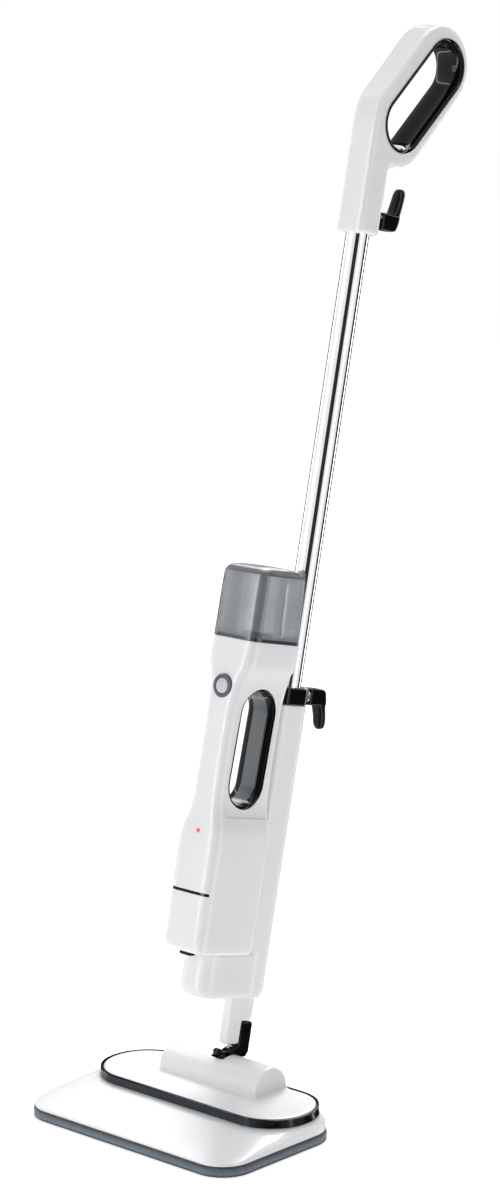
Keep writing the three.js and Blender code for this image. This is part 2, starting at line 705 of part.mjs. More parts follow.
// The stem: a straight socket that bends back into the front of the loop.
function stemOutline(inset) {
  const front = SOCKET_FRONT + inset;
  const rear = SOCKET_REAR - inset;
  const bottom = SOCKET_BOTTOM - (inset > 0 ? -WALL : 0);
  return [
    [front, bottom], [rear, bottom], [rear, 968], [24 - inset, 985], [40, 1020],
    [60, 1085], [BROW[0] + 0.8 * inset, BROW[1] - 0.6 * inset], [-6 + inset, 1051.5 - inset / 3],
    [-11.5 + inset, 1043], [-15.4 + inset, 1032], [front, 1020],
  ];
}

function handle() {
  const outer = join(
    plate(stemOutline(0), -HANDLE_HALF_WIDTH, HANDLE_HALF_WIDTH, 5),
    plate(loopOutline(0), -HANDLE_HALF_WIDTH, HANDLE_HALF_WIDTH, 5),
  );
  const room = HANDLE_HALF_WIDTH - WALL;
  const inner = join(plate(stemOutline(WALL), -room, room, 3), plate(loopOutline(-WALL), -room, room, 3));
  const sleeve = plate(
    leaningStadium(LOOP_S, LOOP_W, LOOP_STRAIGHT, LOOP_HOLE_RADIUS + 2.2 + GAP, LOOP_ANGLE, 10),
    -FAR,
    FAR,
  );
  const tubeHole = bar([0, 0, SOCKET_BOTTOM - 9], [0, 0, SOCKET_BOTTOM + 12], TUBE_RADIUS + GAP, 32);
  return withBosses(outer, cut(outer, inner, sleeve, tubeHole), HANDLE_SCREWS);
}

// A liner: a sleeve through the opening with a rolled rim over each face.
function liner(s, w, straight, rim, hole, angle, halfWidth, seat) {
  const reach = rim - hole;
  const x = halfWidth;
  const bed = seat + GAP;
  const section = [
    [0, x - reach - 1], [0.5, x - reach * 0.45], [reach * 0.45, x - 0.5], [reach * 0.75, x],
    [reach, x - 0.7], [reach, bed], [2.2, bed], [2.2, -bed], [reach, -bed], [reach, -x + 0.7],
    [reach * 0.75, -x], [reach * 0.45, -x + 0.5], [0.5, -x + reach * 0.45], [0, -x + reach + 1],
  ];
  return stadiumRing(s, w, straight, hole, angle, section.reverse());
}

// --------------------------------------------------------------- steam unit
// The unit's skin at heights along the pole: front face, half width, corner radius, and
// how far the finger recess is let into its sides.
const UNIT_SKIN = [
  [UNIT_BOTTOM, -106, 26, 10, 0],
  [135.5, -109, 28, 11, 0],
  [142, -110.4, 28.8, 12, 0],
  [235, -110.6, 29, 12, 0],
  [252, -109.8, 28.6, 12, 0],
  [263, -109, 27.5, 12, 0],
  [273, -108, 24.4, 12, 1.6],
  [284, -107.3, 21.4, 11, 1.5],
  [297, -107, 19.6, 10, 1.3],
  [345, -107, 19.2, 10, 1.2],
  [392, -106.2, 19.8, 10, 1.3],
  [405, -105.4, 21.4, 11, 1.6],
  [418, -104.4, 24, 12, 1.8],
  [428, -103.5, 27.6, 12, 2],
  [434, -103, 30, 12, 2],
  [448, -102, 31.4, 12, 0],
  [UNIT_TOP, -101, 31.8, 12, 0],
];
const RECESS = { front: -100, top: 425.5, bottom: 276, topRadius: 14, bottomRadius: 8, slope: 0.105 };

function unitRear(w) {
  return w > 420 ? UNIT_REAR - 2.5 * Math.min(1, (w - 420) / 20) : UNIT_REAR;
}

// The skin moved inward by an inset, with its sides taken in to the recess' floor or not,
// and its front and rear pushed out a little.
function unitSkin(inset, recessed = false, spread = 0) {
  return loft(
    UNIT_SKIN.map(([w, front, half, radius, recess]) => {
      const isEnd = w === UNIT_BOTTOM ? inset : w === UNIT_TOP ? -inset : 0;
      const halfWidth = half - inset - (recessed ? recess : 0);
      const [start, end] = [front + inset - spread, unitRear(w) - inset + spread];
      const outline = roundedBox(start, end, halfWidth, radius - inset, Math.max(2, 7 - inset), 4);
      return { z: w + isEnd, outline };
    }),
  );
}

// What the recess takes from the sides round the finger slot. Its top edge rises rearward.
function fingerRecess() {
  const { front, top, bottom, topRadius, bottomRadius, slope } = RECESS;
  const tilt = Math.atan(slope);
  const q = Math.PI / 2;
  const outline = [
    [0, bottom],
    [0, top - slope * (front + topRadius)],
    ...arc(front + topRadius, top - topRadius, topRadius, q + tilt, 2 * q, 6),
    ...arc(front + bottomRadius, bottom + bottomRadius, bottomRadius, 2 * q, 3 * q, 5),
  ];
  return cut(plate(outline, -FAR, FAR), unitSkin(0, true, 1));
}

// The unit's front face at a height.
function unitFront(w) {
  const above = UNIT_SKIN.findIndex(([height]) => height >= w);
  const [w0, s0] = UNIT_SKIN[above - 1];
  const [w1, s1] = UNIT_SKIN[above];
  return s0 + ((s1 - s0) * (w - w0)) / (w1 - w0);
}

const BUTTON_FACE = unitFront(BUTTON_W) - 1.6;
const SPOUT_S = -62;
const LATCH_S = -97;
const LATCH_HALF_WIDTH = 6.5;

function unitShell() {
  const sleeve = plate(
    leaningStadium(SLOT_S, SLOT_W, SLOT_STRAIGHT, SLOT_HOLE_RADIUS + 2.2 + GAP, SLOT_TILT, 10),
    -FAR,
    FAR,
  );
  const button = bar([0, -FAR, BUTTON_W], [0, BUTTON_FACE + 12, BUTTON_W], BEZEL_RADIUS + GAP, 28);
  const led = bar([0, -FAR, LED_W], [0, -95, LED_W], 2.1 + GAP, 12);
  const slit = block(-30, 26, -FAR, -97, SLIT_W - 1.6, SLIT_W + 1.6);
  const spout = bar([0, SPOUT_S, UNIT_BOTTOM - 5], [0, SPOUT_S, UNIT_BOTTOM + 9], 7 + GAP, 20);
  const room = LATCH_HALF_WIDTH + GAP;
  const latch = block(-room, room, LATCH_S - 6 - GAP, LATCH_S + 5 + GAP, UNIT_BOTTOM - 5, UNIT_BOTTOM + 9);
  const valve = bar([0, SLOT_S, UNIT_TOP - 9], [0, SLOT_S, UNIT_TOP + 9], 12.4, 20);
  const gland = bar([-FAR, -48, 250], [-20, -48, 250], 6 + GAP, 16);
  const pocketOutline = leaningStadium(SLOT_S, SLOT_W, SLOT_STRAIGHT, SLOT_RADIUS + GAP, SLOT_TILT, 10);
  const pockets = [plate(pocketOutline, SLOT_SEAT, FAR), plate(pocketOutline, -FAR, -SLOT_SEAT)];
  const outer = cut(unitSkin(0), fingerRecess());
  const hollow = cut(outer, unitSkin(WALL, true), sleeve, ...pockets, button, led, slit, spout, latch, valve, gland);
  return withBosses(outer, hollow, UNIT_SCREWS);
}

function slitTrim() {
  const depth = 1.4;
  const band = cut(unitSkin(0.3), unitSkin(WALL - 0.2));
  const front = -97 - GAP - depth + 1.4;
  return band.intersect(block(-29.7, 25.7, -FAR, front, SLIT_W - 1.3, SLIT_W + 1.3));
}

function buttonBezel() {
  const outer = bar([0, BUTTON_FACE, BUTTON_W], [0, BUTTON_FACE + 11, BUTTON_W], BEZEL_RADIUS, 28);
  const bore = bar([0, BUTTON_FACE - 9, BUTTON_W], [0, BUTTON_FACE + 20, BUTTON_W], BUTTON_RADIUS + GAP, 28);
  return cut(outer, bore);
}

function powerButton() {
  const r = BUTTON_RADIUS;
  const profile = [[0, 0], [r - 1, 0], [r, 1], [r, 6.4], [r - 1, 7.4], [r * 0.6, 8.1], [0, 8.4]];
  return turned(profile, [0, BUTTON_FACE + 7, BUTTON_W], new THREE.Vector3(0, -1, 0), 28);
}

function ledLens() {
  const face = unitFront(LED_W);
  const profile = [[0, 0], [2.1, 0], [2.1, 5], [1.4, 5.6], [0, 5.8]];
  return turned(profile, [0, face + 5.2, LED_W], new THREE.Vector3(0, -1, 0), 14);
}

function unitLatch() {
  const x = LATCH_HALF_WIDTH;
  const tongue = block(-x, x, LATCH_S - 6, LATCH_S + 5, UNIT_BOTTOM - 4.5, UNIT_BOTTOM + 6);
  const flangeBottom = UNIT_BOTTOM + WALL + GAP;
  const flange = block(-x - 2, x + 2, LATCH_S - 6, LATCH_S + 6, flangeBottom, flangeBottom + 2);
  const middle = [LATCH_S - 0.5, UNIT_BOTTOM + 2];
  const rounding = bar([-20, ...middle], [20, ...middle], 7.5, 28);
  return join(tongue.intersect(rounding), flange);
}

function boiler() {
  const core = loft([
    { z: 158, outline: roundedBox(-98, -40, 21, 10, 10, 4) },
    { z: 236, outline: roundedBox(-98, -40, 21, 10, 10, 4) },
  ]);
  const flange = loft([
    { z: 194, outline: roundedBox(-102, -36, 24, 10, 10, 4) },
    { z: 199, outline: roundedBox(-102, -36, 24, 10, 10, 4) },
  ]);
  return join(core, flange);
}

function thermostat() {
  return turned([[0, 0], [11, 0], [11, 3], [8, 3], [8, 9], [0, 9]], [0, -70, 236.4], Z, 20);
}

function circuitBoard() {
  return block(-17, 17, -101, -99.4, 240, 272);
}

function pump() {
  const body = bar([0, -90, 436], [0, -50, 436], 11, 20);
  const nozzle = bar([0, -52, 436], [0, -44, 436], 4, 12);
  return join(body, nozzle);
}

// Silicone hose from the pump down behind the slot to the boiler.
function waterHose() {
  const route = new THREE.CatmullRomCurve3(
    [[0, -42, 436], [0, -34.5, 430], [0, -33.3, 412], [0, -33.3, 300], [0, -33.3, 262], [0, -46, 247], [0, -50, 238]].map(
      ([x, s, w]) => new THREE.Vector3(x, s, w),
    ),
  );
  const section = new THREE.Shape(arc(0, 0, 2.6, 0, 2 * Math.PI, 10).slice(0, -1).map(([a, b]) => new THREE.Vector2(a, b)));
  return solid(new THREE.ExtrudeGeometry(section, { steps: 28, extrudePath: route, bevelEnabled: false }));
}

function outletSpout() {
  const profile = [[2.4, 0], [4.5, 0], [5, 2], [5, 16], [7, 18], [7, 38], [2.4, 38], [2.4, 0]];
  return turned(profile, [0, SPOUT_S, UNIT_BOTTOM - 17], Z, 20);
}

function dockSeal() {
  const profile = [[5.4, 0], [11, 0], [11, 9], [7.5, 9], [5.4, 7], [5.4, 0]];
  return turned(profile, [0, SPOUT_S, UNIT_BOTTOM - 26], Z, 24);
}

// A shelf inside the cup carries the seal and the pipe to the neck.
function dockSocket() {
  const bottom = 100;
  const shelf = loft([
    { z: bottom, outline: roundedBox(-80, -28, 15, 8, 6, 3) },
    { z: bottom + 4, outline: roundedBox(-80, -28, 15, 8, 6, 3) },
  ]);
  const post = bar([0, SPOUT_S, SPINE_BOTTOM + WALL + GAP], [0, SPOUT_S, bottom + 1], 9, 20);
  const duct = bar([0, SPOUT_S, 90], [0, SPOUT_S, 120], 3, 12);
  return cut(join(shelf, post), duct);
}

function cordGland() {
  const outside = -30;
  const profile = [[2.6, 0], [9, 0], [9, 2], [6, 2], [6, 8], [5, 15], [2.6, 15], [2.6, 0]];
  return turned(profile, [outside + 6.8, -48, 250], new THREE.Vector3(-1, 0, 0), 16);
}

// --------------------------------------------------------------- water tank
function tankSkin(inset) {
  const levels = [
    [TANK_BOTTOM, -101.2, -28, 32.4, 12, 9],
    [TANK_TOP - 14, -100.4, -31, 32, 12, 9],
    [TANK_TOP - 8, -99.6, -32.5, 31.2, 12, 9],
    [TANK_TOP - 3.4, -96.4, -36.4, 28.5, 11, 9],
    [TANK_TOP - 0.8, -90.5, -42, 22.5, 9, 8],
    [TANK_TOP, -86, -46, 18, 7, 7],
  ];
  return loft(
    levels.map(([w, front, rear, halfWidth, frontRadius, rearRadius]) => {
      const shift = w === TANK_BOTTOM ? inset : w === TANK_TOP ? -inset : -inset * 0.4;
      const outline = roundedBox(
        front + inset,
        rear - inset,
        halfWidth - inset,
        frontRadius - inset,
        rearRadius - inset,
        5,
      );
      return { z: w + shift, outline };
    }),
  );
}

function waterTank() {
  const mouth = bar([0, SLOT_S, TANK_BOTTOM - 5], [0, SLOT_S, TANK_BOTTOM + 9], 9 + GAP, 24);
  return cut(tankSkin(0), tankSkin(WALL), mouth);
}

function valveCap() {
  const profile = [[0, 0], [4, 0], [4, 3], [11.5, 3], [11.5, 8.1], [9, 8.1], [9, 15], [0, 15]];
  return turned(profile, [0, SLOT_S, TANK_BOTTOM - 8.4], Z, 24);
}

// ----------------------------------------------------------------- assembly
function buildSwivel() {
  const group = poleFrame();
  add(group, 'pitch_barrel', pitchBarrel(), 'black');
  add(group, 'swivel_yoke', swivelYoke(), 'black');
  add(group, 'roll_pin', rollPin(), 'steel');
  return group;
}

function buildPole() {
  const group = poleFrame();
  add(group, 'neck', neck(), 'white');
  add(group, 'steam_pipe', steamPipe(), 'brass');
  const column = spine();
  add(group, 'spine_left', half(column, -1), 'white');
  add(group, 'spine_right', half(column, 1), 'white');
  SPINE_SCREWS.forEach((place, i) => add(group, `spine_screw_${i + 1}`, screw(place), 'steel'));
  add(group, 'pole_sleeve', poleSleeve(), 'grey');
  add(group, 'dock_socket', dockSocket(), 'grey');
  add(group, 'dock_seal', dockSeal(), 'silicone');
  add(group, 'hook_collar', hookCollar(), 'black');
  add(group, 'lower_hook_washer', hookWasher(LOWER_HOOK_W), 'steel');
  add(group, 'pole_tube', poleTube(), 'chrome');
  const shell = handle();
  add(group, 'handle_left', half(shell, -1), 'white');
  add(group, 'handle_right', half(shell, 1), 'white');
  HANDLE_SCREWS.forEach((place, i) => add(group, `handle_screw_${i + 1}`, screw(place), 'steel'));
  const grip = liner(
    LOOP_S, LOOP_W, LOOP_STRAIGHT, LOOP_LINER_RADIUS, LOOP_HOLE_RADIUS,
    LOOP_ANGLE, LOOP_LINER_HALF_WIDTH, HANDLE_HALF_WIDTH,
  );
  add(group, 'handle_liner', grip, 'black');
  add(group, 'upper_hook_washer', hookWasher(UPPER_HOOK_W), 'steel');
  add(group, 'lower_hook', cordHook(LOWER_HOOK_W, -1, 34.5), 'black');
  add(group, 'lower_hook_screw', hookScrew(LOWER_HOOK_W, 22.3), 'steel');
  add(group, 'upper_hook', cordHook(UPPER_HOOK_W, 1, 38.5), 'black');
  add(group, 'upper_hook_screw', hookScrew(UPPER_HOOK_W, 16), 'steel');
  return group;
}

function buildUnit() {
  const group = poleFrame();
  const shell = unitShell();
  add(group, 'unit_left', half(shell, -1), 'white');
  add(group, 'unit_right', half(shell, 1), 'white');
  UNIT_SCREWS.forEach((place, i) => add(group, `unit_screw_${i + 1}`, screw(place), 'steel'));
  const finger = liner(
    SLOT_S, SLOT_W, SLOT_STRAIGHT, SLOT_RADIUS, SLOT_HOLE_RADIUS,
    SLOT_TILT, SLOT_HALF_WIDTH, SLOT_SEAT,
  );
  add(group, 'slot_liner', finger, 'black');
  add(group, 'button_bezel', buttonBezel(), 'slate');
  add(group, 'power_button', powerButton(), 'grey');
  add(group, 'led_lens', ledLens(), 'red');
  add(group, 'slit_trim', slitTrim(), 'black');
  add(group, 'unit_latch', unitLatch(), 'black');
  add(group, 'boiler', boiler(), 'aluminium');
  add(group, 'thermostat', thermostat(), 'steel');
  add(group, 'circuit_board', circuitBoard(), 'board');
  add(group, 'pump', pump(), 'black');
  add(group, 'water_hose', waterHose(), 'silicone');
  add(group, 'outlet_spout', outletSpout(), 'brass');
  add(group, 'cord_gland', cordGland(), 'rubber');
  add(group, 'water_tank', waterTank(), 'smoke');
  add(group, 'valve_cap', valveCap(), 'black');
  return group;
}

const mop = new THREE.Group();
mop.add(buildHead(), buildSwivel(), buildPole(), buildUnit());

export default mop;
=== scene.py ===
import json
import math

import bmesh
import bpy
import numpy as np
from mathutils import Matrix, Vector


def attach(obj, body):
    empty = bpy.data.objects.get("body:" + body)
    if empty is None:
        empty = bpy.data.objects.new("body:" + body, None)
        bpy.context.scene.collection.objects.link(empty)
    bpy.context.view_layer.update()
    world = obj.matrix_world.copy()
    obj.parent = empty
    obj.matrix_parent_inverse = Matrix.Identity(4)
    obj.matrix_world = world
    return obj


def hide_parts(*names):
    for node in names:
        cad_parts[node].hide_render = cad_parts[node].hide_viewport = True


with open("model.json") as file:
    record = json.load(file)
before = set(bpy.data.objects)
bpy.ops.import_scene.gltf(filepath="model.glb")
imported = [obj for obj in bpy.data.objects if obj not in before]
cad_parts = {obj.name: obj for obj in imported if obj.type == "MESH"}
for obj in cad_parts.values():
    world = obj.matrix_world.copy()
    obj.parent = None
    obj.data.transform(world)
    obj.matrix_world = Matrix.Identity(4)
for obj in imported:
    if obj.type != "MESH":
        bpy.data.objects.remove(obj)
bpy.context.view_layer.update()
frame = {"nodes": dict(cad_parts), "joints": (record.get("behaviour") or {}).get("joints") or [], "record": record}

MM = 0.001

# ------------------------------------------------------------------ places
JOINTS = {joint["name"]: joint for joint in frame["joints"]}
ROLL = Vector(JOINTS["head_roll"]["pos_m"])
REARWARD = Vector(JOINTS["head_roll"]["axis"]).normalized()
ALONG = Vector(JOINTS["unit_lift"]["axis"]).normalized()
PITCH = Vector(JOINTS["head_pitch"]["pos_m"])
ROLL_W = 44  # the roll axis' height along the pole

# Millimetres across, behind the pole's axis and along it, to metres in the row frame.
POLE = Matrix.Identity(4)
POLE.col[0].xyz = Vector((MM, 0, 0))
POLE.col[1].xyz = REARWARD * MM
POLE.col[2].xyz = ALONG * MM
POLE.col[3].xyz = ROLL - ALONG * (ROLL_W * MM)
HEAD = Matrix.Scale(MM, 4)

# Sizes that the frame's solids share, in millimetres.
PAD_HALF = 147
PAD_END = 88
PAD_CORNER = 35
PAD_TOP = 11.3
SHELL_BOTTOM = 11.6
LIP_TOP = 14.4
WALL_TOP = 21.5
DECK_Z = 25
DECK_FRONT = -5
DECK_REAR = 95.5
DECK_HALF = 139.5
DECK_RADIUS = 50
TRIM_TOP = 34.5
TRIM_WIDTH = 3
WALL = 2.5
TUBE = (12.5, 300, 985)
TUBE_STEPS = 96
UNIT_BOTTOM = 132.5
UNIT_TOP = 461
SLOT = {"s": -65, "w": 348.5, "straight": 36.5, "hole": 23, "rim": 27, "lean": math.radians(2)}
SLOT_HALF_WIDTH = 19
SLOT_SEAT = 16.8
LOOP = {"s": 54.8, "w": 1055.5, "straight": 44, "hole": 25.5, "rim": 31.2, "lean": math.radians(37.6)}
LOOP_HALF_WIDTH = 19
LOOP_SEAT = 17.5
FLARE_STEPS = 16
FLARE_DEPTH = 9  # the dark rim reaches this far into the opening; deeper in, the finger slot's wall is painted a lighter grey as a painted reflection
BUTTON_W = 411
LED_W = 259
SLIT_W = 195
TANK_BOTTOM = 461.4
TANK_TOP = 539


# --------------------------------------------------------------- mesh tools
def make(name, vertices, faces, matrix=HEAD):
    mesh = bpy.data.meshes.new(name)
    mesh.from_pydata([matrix @ Vector(v) for v in vertices], [], faces)
    mesh.validate()
    obj = bpy.data.objects.new(name, mesh)
    bpy.context.scene.collection.objects.link(obj)
    tidy(obj)
    return obj


def tidy(obj, merge=1e-6):
    bm = bmesh.new()
    bm.from_mesh(obj.data)
    bmesh.ops.remove_doubles(bm, verts=bm.verts, dist=merge)
    bmesh.ops.recalc_face_normals(bm, faces=bm.faces)
    bm.to_mesh(obj.data)
    bm.free()


def smooth(obj, angle=None):
    obj.data.shade_smooth()
    if angle is not None:
        obj.data.set_sharp_from_angle(angle=math.radians(angle))
    return obj


def bake(obj):
    """Applies the object's modifiers to its mesh."""
    bpy.context.view_layer.update()
    graph = bpy.context.evaluated_depsgraph_get()
    mesh = bpy.data.meshes.new_from_object(obj.evaluated_get(graph))
    obj.modifiers.clear()
    obj.data = mesh
    return obj


def remove(obj):
    bpy.data.objects.remove(obj, do_unlink=True)


def cut(obj, *cutters):
    for cutter in cutters:
        modifier = obj.modifiers.new("cut", "BOOLEAN")
        modifier.operation = "DIFFERENCE"
        modifier.solver = "EXACT"
        modifier.object = cutter
    bake(obj)
    for cutter in cutters:
        remove(cutter)
    return obj


def bridged(rings, close=False):
    """Quads between rings of the same number of points, with the ends filled or joined."""
    count = len(rings[0])
    vertices = [tuple(p) for ring in rings for p in ring]
    faces = []
    pairs = len(rings) if close else len(rings) - 1
    for level in range(pairs):
        a, b = level * count, ((level + 1) % len(rings)) * count
        for i in range(count):
            j = (i + 1) % count
            faces.append((a + i, a + j, b + j, b + i))
    if not close:
        faces.append(tuple(range(count)))
        faces.append(tuple(range(len(vertices) - count, len(vertices))))
    return vertices, faces


def arc(cx, cy, radius, start, end, steps):
    turns = [start + (end - start) * i / steps for i in range(steps + 1)]
    return [(cx + radius * math.cos(a), cy + radius * math.sin(a)) for a in turns]


def filled_in(points, edge):
    """The outline with its long straight edges divided."""
    out = []
    for i, (x0, y0) in enumerate(points):
        x1, y1 = points[(i + 1) % len(points)]
        out.append((x0, y0))
        if i in edge:
            for k in range(1, edge[i]):
                out.append((x0 + (x1 - x0) * k / edge[i], y0 + (y1 - y0) * k / edge[i]))
    return out


def rounded(front, rear, half, front_radius, rear_radius=None, steps=8, edge=4):
    """A rectangle in plan with its own corner radius at the front and the rear."""
    rear_radius = front_radius if rear_radius is None else rear_radius
    q = math.pi / 2
    points = (
        arc(-half + front_radius, front + front_radius, front_radius, 2 * q, 3 * q, steps)
        + arc(half - front_radius, front + front_radius, front_radius, 3 * q, 4 * q, steps)
        + arc(half - rear_radius, rear - rear_radius, rear_radius, 0, q, steps)
        + arc(-half + rear_radius, rear - rear_radius, rear_radius, q, 2 * q, steps)
    )
    corner = steps + 1
    return filled_in(points, {side * corner - 1: edge for side in (1, 2, 3, 4)})


def pad_outline(inset, steps=12, edge=24):
    end = PAD_END - inset
    return rounded(-end, end, PAD_HALF - inset, PAD_CORNER - inset, steps=steps, edge=edge)


def deck_outline(inset, steps=12, edge=24):
    radius = DECK_RADIUS - inset
    return rounded(DECK_FRONT + inset, DECK_REAR - inset, DECK_HALF - inset, radius, steps=steps, edge=edge)


def stadium(spec, radius, steps=28, edge=10):
    """A stadium in the plane of symmetry, leaning back."""
    half = math.pi
    straight = spec["straight"]
    points = filled_in(
        arc(0, straight, radius, 0, half, steps) + arc(0, -straight, radius, half, 2 * half, steps),
        {steps: edge, 2 * steps + 1: edge},
    )
    c, s = math.cos(spec["lean"]), math.sin(spec["lean"])
    return [(spec["s"] + a * c + b * s, spec["w"] - a * s + b * c) for a, b in points]


def prism(name, outline, x0, x1, matrix=POLE):
    rings = [[(x, a, b) for a, b in outline] for x in (x0, x1)]
    return make(name, *bridged(rings), matrix=matrix)


def box(name, low, high, matrix=POLE):
    rings = [
        [(low[0], low[1], z), (high[0], low[1], z), (high[0], high[1], z), (low[0], high[1], z)]
        for z in (low[2], high[2])
    ]
    return make(name, *bridged(rings), matrix=matrix)


def turned(name, profile, centre, axis, steps=64, matrix=POLE):
    """A turned piece: [radius, height] pairs about an axis through a point."""
    across = Vector((1, 0, 0)) if abs(axis[0]) < 0.9 else Vector((0, 1, 0))
    along = Vector(axis)
    other = along.cross(across)
    rings = []
    for radius, height in profile:
        ring = []
        for i in range(steps):
            a = 2 * math.pi * i / steps
            spoke = across * (radius * math.cos(a)) + other * (radius * math.sin(a))
            ring.append(Vector(centre) + along * height + spoke)
        rings.append(ring)
    return make(name, *bridged(rings), matrix=matrix)


def eased(table, heights):
    """Rows interpolated by a smooth curve that doesn't overshoot (Fritsch-Carlson)."""
    rows = np.array(table, float)
    x, columns = rows[:, 0], rows[:, 1:]
    step = np.diff(x)[:, None]
    slope = np.diff(columns, axis=0) / step
    tangent = np.zeros_like(columns)
    tangent[0], tangent[-1] = slope[0], slope[-1]
    for i in range(1, len(x) - 1):
        same = slope[i - 1] * slope[i] > 0
        safe = np.where(same, slope[i - 1] + slope[i], 1)
        tangent[i] = np.where(same, 2 * slope[i - 1] * slope[i] / safe, 0)
    out = []
    for h in heights:
        i = int(np.clip(np.searchsorted(x, h) - 1, 0, len(x) - 2))
        d = x[i + 1] - x[i]
        t = (h - x[i]) / d
        out.append(
            (2 * t**3 - 3 * t**2 + 1) * columns[i]
            + (t**3 - 2 * t**2 + t) * d * tangent[i]
            + (3 * t**2 - 2 * t**3) * columns[i + 1]
            + (t**3 - t**2) * d * tangent[i + 1]
        )
    return out


def welded(name, nodes):
    """The CAD nodes' meshes as one closed skin; two halves lose the seam between them."""
    bm = bmesh.new()
    for node in nodes:
        bm.from_mesh(frame["nodes"][node].data)
    if len(nodes) > 1:
        for vertex in bm.verts:
            if abs(vertex.co.x) < 0.00015:
                vertex.co.x = 0
        seam = [f for f in bm.faces if all(abs(v.co.x) < 1e-7 for v in f.verts)]
        bmesh.ops.delete(bm, geom=seam, context="FACES")
        loose = [v for v in bm.verts if not v.link_faces]
        bmesh.ops.delete(bm, geom=loose, context="VERTS")
    bmesh.ops.remove_doubles(bm, verts=bm.verts, dist=2e-6)
    mesh = bpy.data.meshes.new(name)
    bm.to_mesh(mesh)
    bm.free()
    obj = bpy.data.objects.new(name, mesh)
    bpy.context.scene.collection.objects.link(obj)
    return obj


def softened(name, nodes, voxel, passes):
    """The nodes' own shape with its edges rounded, as a moulding's are."""
    obj = welded(name, nodes)
    remesh = obj.modifiers.new("remesh", "REMESH")
    remesh.mode = "VOXEL"
    remesh.voxel_size = voxel * MM
    rounding = obj.modifiers.new("rounding", "SMOOTH")
    rounding.factor = 0.5
    rounding.iterations = passes
    bake(obj)
    obj.data.materials.clear()
    return smooth(obj)


# ---------------------------------------------------------------- materials
def new_material(name):
    material = bpy.data.materials.new(name)
    material.use_nodes = True
    tree = material.node_tree
    shader = tree.nodes["Principled BSDF"]
    place = tree.nodes.new("ShaderNodeTexCoord").outputs["Object"]
    return material, tree, shader, place


def noise(tree, place, size_mm, detail=3.0, stretch=None):
    node = tree.nodes.new("ShaderNodeTexNoise")
    node.inputs["Scale"].default_value = 1.0 / (size_mm * MM)
    node.inputs["Detail"].default_value = detail
    if stretch is None:
        tree.links.new(place, node.inputs["Vector"])
    else:
        mapping = tree.nodes.new("ShaderNodeMapping")
        mapping.inputs["Scale"].default_value = stretch
        tree.links.new(place, mapping.inputs["Vector"])
        tree.links.new(mapping.outputs["Vector"], node.inputs["Vector"])
    return node.outputs["Fac"]


def spread(tree, value, low, high, start=0.3, end=0.7):
    node = tree.nodes.new("ShaderNodeMapRange")
    node.interpolation_type = "SMOOTHERSTEP"
    node.inputs["From Min"].default_value = start
    node.inputs["From Max"].default_value = end
    node.inputs["To Min"].default_value = low
    node.inputs["To Max"].default_value = high
    tree.links.new(value, node.inputs["Value"])
    return node.outputs["Result"]


def math_node(tree, operation, a, b=None):
    node = tree.nodes.new("ShaderNodeMath")
    node.operation = operation
    for socket, value in zip(node.inputs, (a, b)):
        if isinstance(value, (int, float)):
            socket.default_value = value
        elif value is not None:
            tree.links.new(value, socket)
    return node.outputs[0]


def blended(tree, value, dark, light):
    node = tree.nodes.new("ShaderNodeMix")
    node.data_type = "RGBA"
    node.inputs[6].default_value = (*dark, 1)
    node.inputs[7].default_value = (*light, 1)
    tree.links.new(value, node.inputs[0])
    return node.outputs[2]


def bumped(tree, shader, height, distance_mm, strength=1.0, after=None):
    node = tree.nodes.new("ShaderNodeBump")
    node.inputs["Distance"].default_value = distance_mm * MM
    node.inputs["Strength"].default_value = strength
    tree.links.new(height, node.inputs["Height"])
    if after is not None:
        tree.links.new(after, node.inputs["Normal"])
    tree.links.new(node.outputs["Normal"], shader.inputs["Normal"])
    return node.outputs["Normal"]


def plastic(name, colour, roughness, coat=0.3, vary=0.02, specular=0.5, peel=0.02):
    """Moulded plastic: faint flow marks in the colour and a slight orange peel in the gloss."""
    material, tree, shader, place = new_material(name)
    dark = tuple(max(0, c * (1 - vary)) for c in colour)
    light = tuple(min(1, c * (1 + vary)) for c in colour)
    flow = noise(tree, place, 70, 3, (1, 1, 0.35))
    tree.links.new(blended(tree, spread(tree, flow, 0, 1), dark, light), shader.inputs["Base Color"])
    shader.inputs["Roughness"].default_value = roughness
    shader.inputs["Specular IOR Level"].default_value = specular
    shader.inputs["Coat Weight"].default_value = coat
    shader.inputs["Coat Roughness"].default_value = 0.05
    coarse = bumped(tree, shader, noise(tree, place, 14, 1), peel)
    bumped(tree, shader, noise(tree, place, 0.8, 2), 0.0012, after=coarse)
    return material


def metal(name, colour, roughness, stretch=None, grain=0.004):
    material, tree, shader, place = new_material(name)
    shader.inputs["Metallic"].default_value = 1
    dark = tuple(c * 0.93 for c in colour)
    brushed = noise(tree, place, 1.2, 4, stretch)
    cloud = spread(tree, noise(tree, place, 30), 0, 1)
    tree.links.new(blended(tree, cloud, dark, colour), shader.inputs["Base Color"])
    tree.links.new(spread(tree, brushed, roughness * 0.7, roughness * 1.4), shader.inputs["Roughness"])
    bumped(tree, shader, brushed, grain)
    return material


